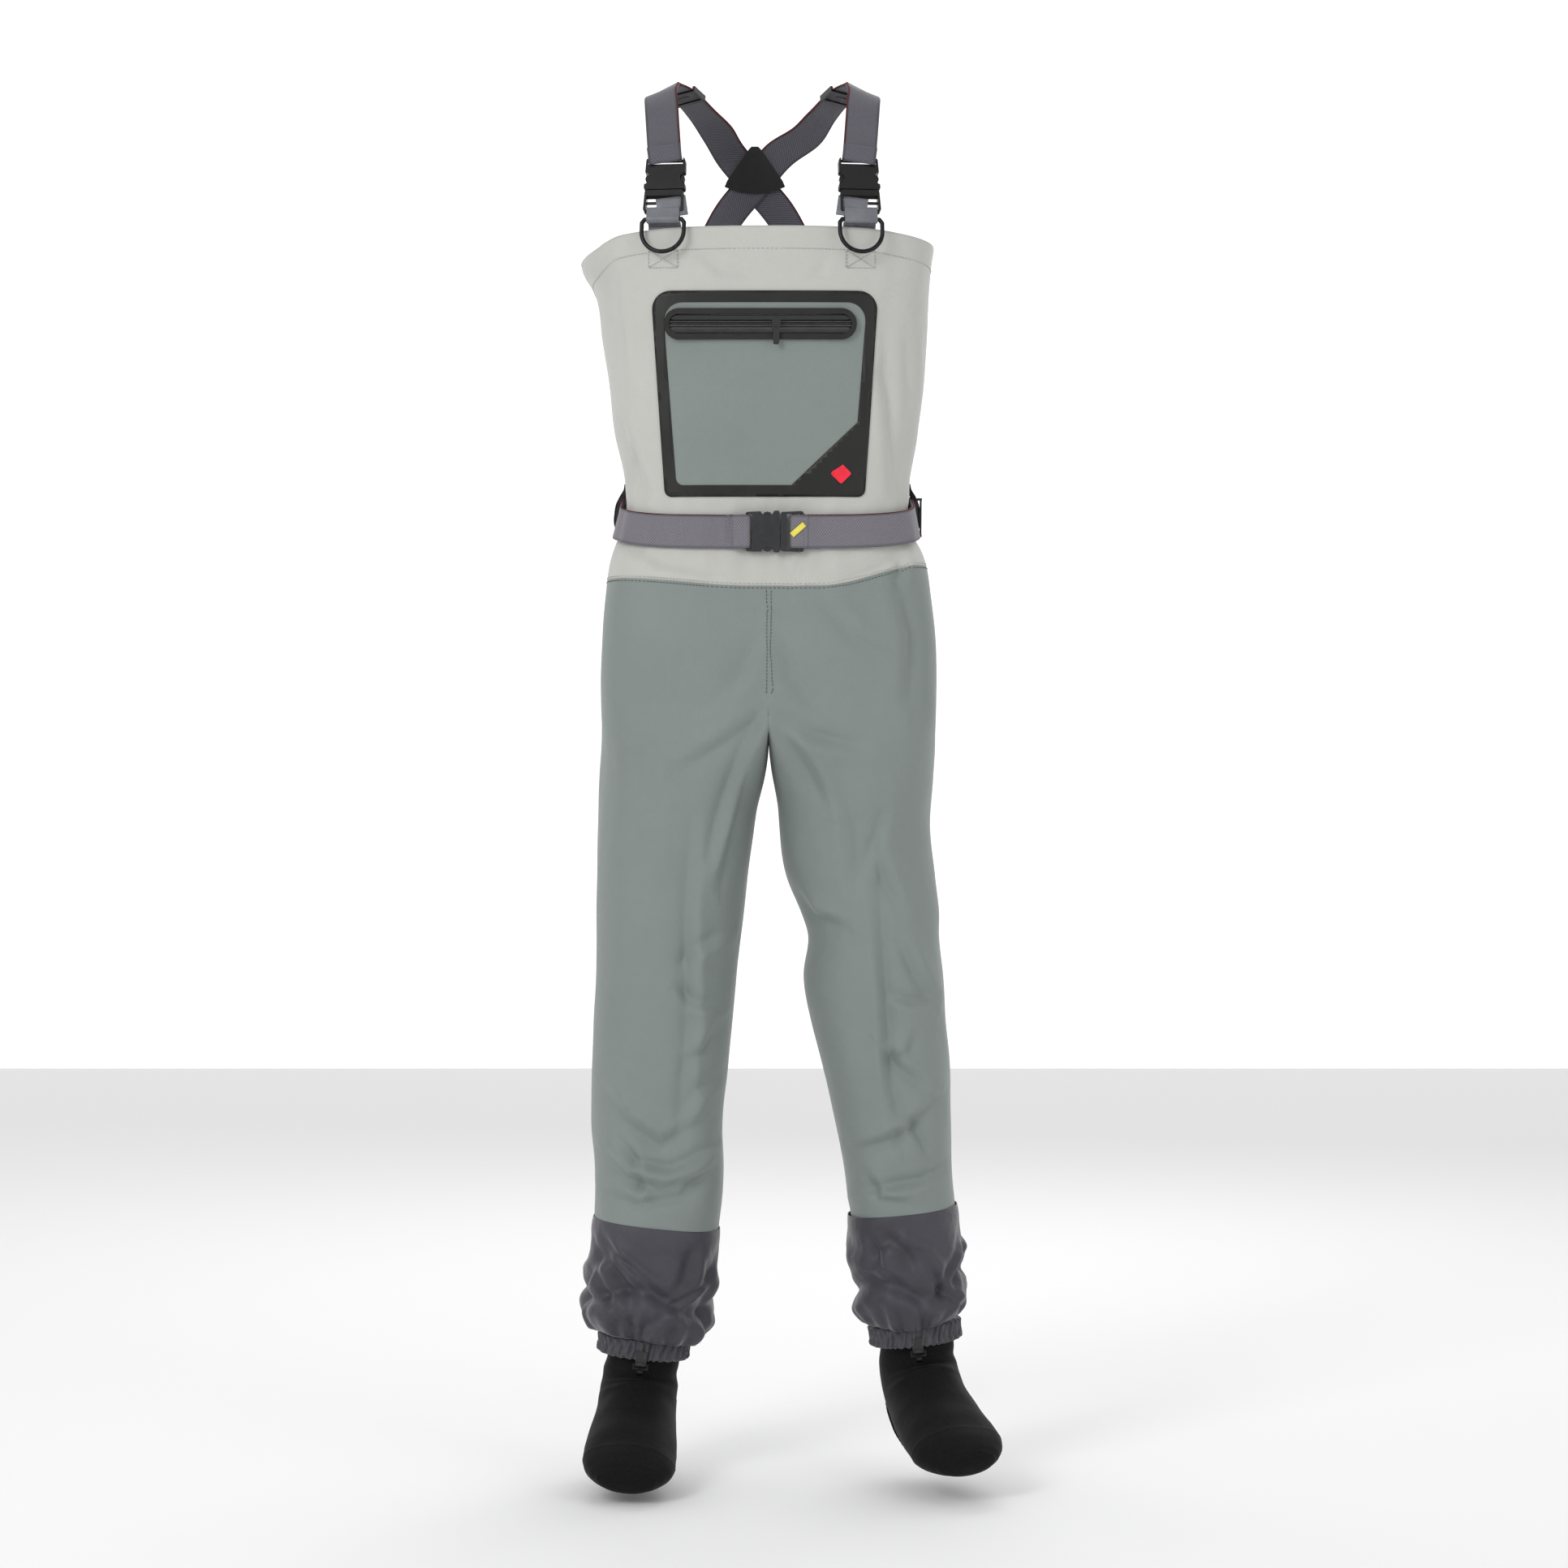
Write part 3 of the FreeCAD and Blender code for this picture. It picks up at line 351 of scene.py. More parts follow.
@dataclass(frozen=True)
class Webbing:
    """Ribbed elastic webbing whose pattern follows the strap, with tight selvedges."""

    name: str
    colour: tuple[float, float, float]
    dark: tuple[float, float, float]
    width: float = 0.038
    rib: float = 0.0012

    def build(self) -> bpy.types.Material:
        """Make the material."""
        b = Board(self.name)
        uv = b.node("ShaderNodeUVMap", uv_map="strap").outputs[0]
        split = b.node("ShaderNodeSeparateXYZ", Vector=uv)
        across, along = split.outputs[0], split.outputs[1]
        k = 1 / self.rib / 6.28
        twill = b.node("ShaderNodeTexWave", wave_type="BANDS", bands_direction="X", Scale=1.0, Distortion=0.6,
                       Vector=b.scaled(uv, (k, k, 0.0), (0, 0, math.radians(52))))
        cross = b.node("ShaderNodeTexWave", wave_type="BANDS", bands_direction="Y", Scale=1.0, Distortion=0.3,
                       Vector=b.scaled(uv, (0.0, k * 1.7, 0.0)))
        edge = b.math("ABSOLUTE", b.math("SUBTRACT", across, self.width / 2))
        selvedge = b.math("GREATER_THAN", edge, self.width / 2 - 0.0028)
        rib = b.math(
            "ADD", b.math("MULTIPLY", twill.outputs["Fac"], 0.7),
            b.math("MULTIPLY", cross.outputs["Fac"], 0.3)
        )
        dirt = b.math("ADD", b.math("MULTIPLY", rib, 0.7), b.math("MULTIPLY", b.noise(900.0, 2.0), 0.5))
        body = b.ramp(dirt, 0.25, 0.95, self.dark, self.colour)
        mix = b.node("ShaderNodeMix", data_type="RGBA")
        b.tree.links.new(b.math("MULTIPLY", selvedge, 0.55), mix.inputs[0])
        b.tree.links.new(body, mix.inputs[6])
        mix.inputs[7].default_value = (*tone(self.dark, 0.8), 1)
        normal = b.bump(rib, 0.5, 0.0003, b.bump(along, 0.0, 0.001))
        return b.finish(mix.outputs[2], 0.78, normal, Sheen_Weight=0.25, Specular_IOR_Level=0.25)


@dataclass(frozen=True)
class Moulded:
    """Moulded plastic with a fine spark-eroded grain and random patches a little lighter."""

    name: str
    colour: tuple[float, float, float]
    rough: float = 0.42
    grain: float = 2600.0
    coat: float = 0.0

    def build(self) -> bpy.types.Material:
        """Make the material."""
        b = Board(self.name)
        scuff = b.noise(120.0, 6.0)
        colour = b.ramp(scuff, 0.35, 0.8, tone(self.colour, 0.85), tone(self.colour, 1.5))
        rough = b.math("ADD", b.math("MULTIPLY", b.noise(60.0, 4.0), 0.2), self.rough - 0.1)
        normal = b.bump(b.noise(self.grain, 2.0), 0.12, 0.0002)
        return b.finish(
            colour, rough, normal, Coat_Weight=self.coat, Coat_Roughness=0.2, Specular_IOR_Level=0.5
        )


@dataclass(frozen=True)
class Metal:
    """Drawn wire or die-cast zinc under a dark plate."""

    name: str
    colour: tuple[float, float, float]
    rough: float = 0.3

    def build(self) -> bpy.types.Material:
        """Make the material."""
        b = Board(self.name)
        draw = b.noise(35.0, 5.0, b.scaled(b.place.outputs["Object"], (12.0, 12.0, 1.0)))
        colour = b.ramp(draw, 0.35, 0.75, tone(self.colour, 0.8), tone(self.colour, 1.25))
        rough = b.math("ADD", b.math("MULTIPLY", draw, 0.25), self.rough - 0.1)
        return b.finish(colour, rough, b.bump(draw, 0.08, 0.0003), Metallic=1.0)


@dataclass(frozen=True)
class Nylon:
    """Coated plain-weave nylon, softer and shinier than the laminate."""

    name: str
    colour: tuple[float, float, float]
    rough: float = 0.5

    def build(self) -> bpy.types.Material:
        """Make the material."""
        b = Board(self.name)
        at = b.place.outputs["Object"]
        check = b.node(
            "ShaderNodeTexBrick", Scale=1.0,
            Vector=b.scaled(at, (900.0, 900.0, 900.0), (1.57, 0, 0))
        )
        check.inputs["Mortar Size"].default_value = 0.08
        check.inputs["Color1"].default_value = (1, 1, 1, 1)
        check.inputs["Color2"].default_value = (0.8, 0.8, 0.8, 1)
        check.inputs["Mortar"].default_value = (0.5, 0.5, 0.5, 1)
        cloud = b.noise(14.0, 5.0)
        colour = b.ramp(cloud, 0.3, 0.7, tone(self.colour, 0.85), tone(self.colour, 1.2))
        crumple = b.bump(b.noise(55.0, 5.0), 0.5, 0.004)
        normal = b.bump(check.outputs["Fac"], 0.15, 0.0003, crumple)
        rough = b.math("ADD", b.math("MULTIPLY", cloud, 0.2), self.rough - 0.1)
        return b.finish(colour, rough, normal, Sheen_Weight=0.3, Sheen_Roughness=0.35, Specular_IOR_Level=0.4)


@dataclass(frozen=True)
class Neoprene:
    """Foam rubber faced with a fine jersey knit."""

    name: str
    colour: tuple[float, float, float]

    def build(self) -> bpy.types.Material:
        """Make the material."""
        b = Board(self.name)
        knit = b.node(
            "ShaderNodeTexVoronoi", Scale=900.0, Vector=b.place.outputs["Object"]
        ).outputs["Distance"]
        lint = b.noise(260.0, 4.0)
        colour = b.ramp(lint, 0.3, 0.85, tone(self.colour, 0.75), tone(self.colour, 1.9))
        normal = b.bump(knit, 0.3, 0.0003, b.bump(b.noise(22.0, 4.0), 0.4, 0.004))
        return b.finish(colour, 0.85, normal, Sheen_Weight=0.06, Sheen_Roughness=0.4, Specular_IOR_Level=0.2)


@dataclass(frozen=True)
class Film:
    """Heat-bonded film or tape over cloth: flat, faintly grained, slightly glossy."""

    name: str
    colour: tuple[float, float, float]
    rough: float = 0.5
    grain: float = 700.0
    coat: float = 0.0

    def build(self) -> bpy.types.Material:
        """Make the material."""
        b = Board(self.name)
        cloud = b.noise(30.0, 5.0)
        colour = b.ramp(cloud, 0.3, 0.7, tone(self.colour, 0.85), tone(self.colour, 1.2))
        rough = b.math("ADD", b.math("MULTIPLY", b.noise(90.0, 4.0), 0.2), self.rough - 0.1)
        normal = b.bump(b.noise(self.grain, 3.0), 0.2, 0.0003, b.bump(cloud, 0.2, 0.003))
        return b.finish(
            colour, rough, normal, Coat_Weight=self.coat, Coat_Roughness=0.15,
            Specular_IOR_Level=0.4
        )


class Finishes:
    """Every finish on the waders, made once."""

    def __init__(self) -> None:
        """Make the materials."""
        self.bib = Laminate("pale_laminate", (0.53, 0.53, 0.50), mottle=0.03).build()
        self.legs = Laminate("grey_laminate", (0.225, 0.258, 0.247), rough=0.58, mottle=0.04).build()
        self.pocket = Laminate("pocket_laminate", (0.225, 0.258, 0.247), rough=0.6, mottle=0.03).build()
        self.tape = Film("black_film", (0.010, 0.010, 0.009), rough=0.46).build()
        self.facing = Film("inner_facing", (0.03, 0.03, 0.03), rough=0.7).build()
        self.seam_tape = Film("seam_tape", (0.22, 0.23, 0.23), rough=0.45).build()
        self.gloss = Film("coated_coil", (0.004, 0.004, 0.005), rough=0.16, grain=300.0, coat=1.0).build()
        self.guard = Nylon("charcoal_nylon", (0.05, 0.048, 0.06)).build()
        self.hem = Nylon("ruffled_nylon", (0.062, 0.06, 0.072), rough=0.6).build()
        self.sole = Neoprene("sole_neoprene", (0.006, 0.006, 0.0065)).build()
        self.neoprene = Neoprene("black_neoprene", (0.0035, 0.0035, 0.0035)).build()
        self.webbing = Webbing("grey_webbing", (0.155, 0.15, 0.18), (0.06, 0.058, 0.072)).build()
        self.belt = Webbing("belt_webbing", (0.25, 0.235, 0.27), (0.11, 0.102, 0.12)).build()
        self.keeper = Webbing("keeper_webbing", (0.06, 0.06, 0.065), (0.01, 0.01, 0.012)).build()
        self.lining = Film("maroon_edge", (0.13, 0.012, 0.014), rough=0.8).build()
        self.band = Film("satin_band", (0.16, 0.165, 0.185), rough=0.28, grain=1200.0, coat=0.4).build()
        self.acetal = Moulded("black_acetal", (0.0028, 0.0028, 0.003), rough=0.3).build()
        self.satin = Moulded("satin_acetal", (0.012, 0.013, 0.016), rough=0.25, coat=0.4).build()
        self.plate = Moulded("plate_rubber", (0.006, 0.006, 0.007), rough=0.6).build()
        self.red = Moulded("red_rubber", (0.88, 0.008, 0.035), rough=0.5).build()
        self.yellow = Film("yellow_tab", (0.80, 0.70, 0.09), rough=0.6).build()
        self.wire = Metal("black_wire", (0.03, 0.03, 0.032), rough=0.35).build()
        self.pale_thread = Film("pale_thread", (0.42, 0.42, 0.40), rough=0.8).build()
        self.thread = Film("grey_thread", (0.1, 0.11, 0.11), rough=0.8).build()


# --- The waders' cloth -----------------------------------------------------------------------------


@dataclass(frozen=True)
class Crease:
    """One fold pressed into the cloth: a valley along a line, with the cloth pushed up beside it.

    Attributes:
        line: Points across the front, as X and Z in metres.
        width: Half the valley's width.
        depth: How far in it goes; negative makes a ridge.
        lean: Which side the pushed-up cloth is on, 1 or -1, or 0 for both.
        back: Whether it is on the back instead of the front.
    """

    line: tuple[tuple[float, float], ...]
    width: float = 0.012
    depth: float = 0.004
    lean: int = 1
    back: bool = False

    def press(self, co: np.ndarray, normal: np.ndarray) -> np.ndarray:
        """How far each point moves out along its normal."""
        faces = (co[:, 1] > 0) if self.back else (co[:, 1] < 0)
        p = co[:, (0, 2)]
        line = np.array(self.line)
        best = np.full(len(p), 1e9)
        signed = np.zeros(len(p))
        along = np.zeros(len(p))
        runs = np.linalg.norm(np.diff(line, axis=0), axis=1)
        total, done = runs.sum(), 0.0
        for a, b, run in zip(line, line[1:], runs):
            d = (b - a) / run
            t = np.clip((p - a) @ d, 0, run)
            gap = p - (a + t[:, None] * d)
            far = np.hypot(gap[:, 0], gap[:, 1])
            near = far < best
            best = np.where(near, far, best)
            signed = np.where(near, np.sign(gap[:, 0] * -d[1] + gap[:, 1] * d[0]) * far, signed)
            along = np.where(near, (done + t) / total, along)
            done += run
        taper = np.sin(np.pi * np.clip(along * 0.9 + 0.05, 0, 1)) ** 0.7
        s = signed / (self.width * 0.78)
        valley = -np.exp(-(np.abs(s) ** 1.4))
        beside = np.exp(-(np.abs(s - 1.6 * (self.lean or 1)) ** 1.4) / 1.2)
        if self.lean == 0:
            beside = 0.5 * (beside + np.exp(-((s + 1.7) ** 2) / 1.4))
        facing = smooth(np.abs(normal[:, 1]) / 0.45)
        return faces * facing * taper * self.depth * 1.75 * (valley + 0.75 * beside)


@dataclass
class Garment:
    """The bib, seat and legs as one sheet of cloth, which is then parted at its seams and at the bends.

    Every ring is (height, middle, half width, half depth), in metres.
    """

    trunk: tuple[Ring, ...] = (
        (-0.175, -0.0085, 0.2035, 0.128),
        (-0.200, -0.0105, 0.2015, 0.129),
        (-0.214, -0.0125, 0.2015, 0.129),
        (-0.242, -0.0070, 0.1935, 0.129),
        (-0.299, -0.0035, 0.1870, 0.128),
        (-0.355, -0.0010, 0.1810, 0.125),
        (-0.412, -0.0015, 0.1740, 0.120),
        (-0.468, 0.0000, 0.1635, 0.1115),
        (-0.500, 0.0000, 0.1630, 0.1090),
        (-0.530, -0.0010, 0.1705, 0.1100),
        (-0.556, 0.0010, 0.1805, 0.1130),
        (-0.600, 0.0020, 0.1870, 0.1190),
        (-0.650, 0.0030, 0.1915, 0.1240),
        (-0.690, 0.0020, 0.1935, 0.1180),
        (-0.720, 0.0020, 0.1935, 0.1140),
    )
    left: tuple[Ring, ...] = (
        (-0.690, -0.0960, 0.0950, 0.116),
        (-0.750, -0.0985, 0.0940, 0.108),
        (-0.806, -0.1005, 0.0935, 0.101),
        (-0.863, -0.1055, 0.0900, 0.097),
        (-0.919, -0.1095, 0.0870, 0.093),
        (-1.032, -0.1160, 0.0810, 0.087),
        (-1.145, -0.1240, 0.0790, 0.082),
        (-1.201, -0.1270, 0.0770, 0.079),
        (-1.258, -0.1240, 0.0755, 0.078),
        (-1.338, -0.1285, 0.0725, 0.076),
    )
    right: tuple[Ring, ...] = (
        (-0.690, 0.1010, 0.0940, 0.116),
        (-0.750, 0.1025, 0.0925, 0.108),
        (-0.806, 0.1015, 0.0905, 0.101),
        (-0.863, 0.1020, 0.0870, 0.096),
        (-0.919, 0.1090, 0.0855, 0.092),
        (-0.960, 0.1200, 0.0800, 0.089),
        (-0.985, 0.1240, 0.0760, 0.087),
        (-1.032, 0.1240, 0.0810, 0.086),
        (-1.088, 0.1300, 0.0775, 0.083),
        (-1.145, 0.1385, 0.0735, 0.080),
        (-1.201, 0.1450, 0.0680, 0.078),
        (-1.258, 0.1520, 0.0625, 0.076),
        (-1.323, 0.1590, 0.0620, 0.073),
    )
    around: int = 300
    under: int = 60
    hip_rows: int = 112
    seat_rows: int = 38
    thigh_rows: int = 56
    shin_rows: int = 124
    middle: float = 0.003
    rise_end: float = -0.720
    crotch_drop: float = 0.040
    tucked: float = 0.004
    leg_part: float = -0.900
    cloth: float = 0.0016
    creases: tuple[Crease, ...] = field(default_factory=tuple)

    def hem(self, x: np.ndarray, y: np.ndarray) -> np.ndarray:
        """Height of the top edge: level in front, sagging to the sides, lower at the back."""
        front = -0.1845 - 0.016 * np.abs(x / 0.2) ** 3.0 - 0.012 * smooth((-x - 0.165) / 0.05)
        return front + (-0.236 - front) * smooth((y + 0.02) / 0.13)

    def hip_line(self, x: np.ndarray) -> np.ndarray:
        """Height of the seam between bib and seat: it climbs a little towards each hip."""
        return -0.5885 + 0.010 * smooth((-x - 0.02) / 0.16) + 0.026 * smooth((x - 0.06) / 0.13)

    def trunk_at(self, turn: np.ndarray, z: np.ndarray) -> np.ndarray:
        """Points of the trunk at angles from the front middle and at heights."""
        cx, a, b = (follow(self.trunk, z, k) for k in (1, 2, 3))
        x, y = oval(turn, a, b, 4.0, 2.8)
        return np.stack([x + cx, y, z], 1)

    def make_trunk(self) -> bmesh.types.BMesh:
        """Bib and seat down to the fork, as a tube."""
        rows = self.hip_rows + self.seat_rows
        share = self.hip_rows / rows

        def place(across: np.ndarray, along: np.ndarray) -> np.ndarray:
            """Carry the tube's corners to the trunk."""
            turn = 2 * np.pi * across - np.pi / 2
            rough = self.trunk_at(turn, np.full_like(turn, -0.21))
            top = self.hem(rough[:, 0], rough[:, 1])
            hips = self.trunk_at(turn, np.full_like(turn, -0.585))
            seam = self.hip_line(hips[:, 0])
            down = 1.0 - along
            upper = top + (seam - top) * (down / share)
            lower = seam + (self.rise_end - seam) * ((down - share) / (1 - share))
            return self.trunk_at(turn, np.where(down <= share, upper, lower))

        return grid(self.around, rows, place, wrap=True)

    def make_leg(self, side: Side) -> bmesh.types.BMesh:
        """One leg, from the fork to its low seam, as a tube that starts on the trunk's rim."""
        half = self.around // 2
        count = half + self.under
        rings = self.left if side is Side.LEFT else self.right
        low = rings[-1][0]
        rows = self.thigh_rows + self.shin_rows
        share = self.thigh_rows / rows

        def place(across: np.ndarray, along: np.ndarray) -> np.ndarray:
            """Carry the tube's corners to the leg."""
            step = np.round(across * count)
            outer = step <= half
            turn = -np.pi / 2 + side.sign * np.pi * np.clip(step / half, 0, 1)
            rim = self.trunk_at(turn, np.full_like(turn, self.rise_end))
            ends = self.trunk_at(np.array([-np.pi / 2, np.pi / 2]), np.full(2, self.rise_end))
            back = np.clip((step - half) / self.under, 0, 1)
            y = ends[1, 1] + (ends[0, 1] - ends[1, 1]) * (1 - np.cos(np.pi * back)) / 2
            x = np.full_like(y, 1.0) * (ends[0, 0] + (ends[1, 0] - ends[0, 0]) * (1 - back))
            drop = self.crotch_drop * np.sin(np.pi * back) ** 0.8
            fork = np.stack([x, y, self.rise_end - drop], 1)
            start = np.where(outer[:, None], rim, fork)
            down = 1.0 - along
            top = start[:, 2]
            upper = top + (self.leg_part - top) * (down / share)
            lower = self.leg_part + (low - self.leg_part) * ((down - share) / (1 - share))
            z = np.where(down <= share, upper, lower)
            cx, a, b = (follow(rings, z, k) for k in (1, 2, 3))
            tuck = self.tucked * smooth(np.clip((low + 0.012 - z) / 0.010, 0, 1))
            a, b = a - tuck, b - tuck
            open_turn = np.radians(-130 + 260 * np.clip(step / half, 0, 1))
            close_turn = np.radians(130 + 100 * back)
            angle = np.where(outer, open_turn, close_turn)
            ox, oy = oval(angle, a, b, 2.3, 2.3)
            tube = np.stack([cx + side.sign * ox, oy, z], 1)
            ease = smooth(down / (share * 0.62))[:, None]
            mixed = np.stack([start[:, 0], start[:, 1], z], 1) * (1 - ease) + tube * ease
            return mixed

        bm = grid(count, rows, place, wrap=True)
        if side is Side.LEFT:
            bmesh.ops.reverse_faces(bm, faces=bm.faces[:])
        return bm

    def press(self, co: np.ndarray, normal: np.ndarray) -> np.ndarray:
        """Fold and crumple the cloth, and keep it still where hard pieces lie on it."""
        push = np.zeros(len(co))
        for crease in self.creases:
            push += crease.press(co, normal)
        front = co[:, 1] < 0
        x, z = co[:, 0], co[:, 2]
        gather = np.exp(-(((z + 0.528 - 0.236 * (co[:, 1] + 0.11)) / 0.045) ** 2))
        turn = np.arctan2(co[:, 1], x)
        pleats = np.sin(turn * 23 + 1.7 * np.sin(turn * 5)) * np.sin(turn * 9 + 1.0)
        push += 0.0022 * gather * pleats
        for i, point in enumerate(co):
            p = Vector(point)
            slow = noise.noise(Vector((p.x * 11, p.y * 11, p.z * 5.5)))
            mid = noise.noise(Vector((p.x * 30 + 9, p.y * 30, p.z * 20)))
            push[i] += 0.0028 * slow + 0.0009 * mid
        still = np.ones(len(co))
        zip_zone = smooth((0.150 - np.abs(x + 0.007)) / 0.03) * smooth((0.055 - np.abs(z + 0.2955)) / 0.02)
        rings = sum(smooth((0.045 - np.abs(x - at)) / 0.02) for at in (-0.116, 0.106)) * smooth((z + 0.27) / 0.03)
        pocket = smooth((0.145 - np.abs(x)) / 0.02) * smooth((0.13 - np.abs(z + 0.373)) / 0.02)
        still -= front * np.clip(0.97 * zip_zone + 0.85 * rings + 0.35 * pocket, 0, 0.97)
        belt = np.exp(-(((z + 0.502 - 0.236 * co[:, 1]) / 0.024) ** 4))
        low = np.where(x < 0, self.left[-1][0], self.right[-1][0])
        tucked = smooth((low + 0.036 - z) / 0.02)
        push = push * still * (1 - tucked) - 0.0012 * tucked
        return np.where(push > 0, push * (1 - belt * (z > -0.56)), push) - 0.0006 * belt * (z > -0.56)

    def build(self) -> bmesh.types.BMesh:
        """The whole sheet, folded, with its panels numbered in a face layer."""
        bm = self.make_trunk()
        for side in Side:
            leg = self.make_leg(side)
            mesh = bpy.data.meshes.new("leg")
            leg.to_mesh(mesh)
            leg.free()
            bm.from_mesh(mesh)
            bpy.data.meshes.remove(mesh)
        bmesh.ops.remove_doubles(bm, verts=bm.verts[:], dist=4e-5)
        panel = bm.faces.layers.int.new("panel")
        for face in bm.faces:
            c = face.calc_center_median()
            seam = float(self.hip_line(np.array([c.x]))[0])
            if c.z > seam:
                face[panel] = 0
            elif c.z > self.leg_part:
                face[panel] = 1 if c.x < self.middle else 2
            else:
                face[panel] = 3 if c.x < self.middle else 4
        bmesh.ops.smooth_vert(bm, verts=[v for v in bm.verts if -0.86 < v.co.z < -0.64 and abs(v.co.x) < 0.09],
                              factor=0.5, use_axis_x=True, use_axis_y=True, use_axis_z=True)
        for _ in range(6):
            near = [v for v in bm.verts if -0.83 < v.co.z < -0.695 and abs(v.co.x - self.middle) < 0.06]
            bmesh.ops.smooth_vert(
                bm, verts=near, factor=0.5, use_axis_x=True, use_axis_y=True, use_axis_z=True
            )
        bm.normal_update()
        co = np.array([v.co for v in bm.verts])
        normal = np.array([v.normal for v in bm.verts])
        push = self.press(co, normal)
        for vert, at in zip(bm.verts, co + normal * push[:, None]):
            vert.co = at
        bmesh.ops.smooth_vert(
            bm, verts=bm.verts[:], factor=0.12, use_axis_x=True, use_axis_y=True, use_axis_z=True
        )
        bm.normal_update()
        return bm


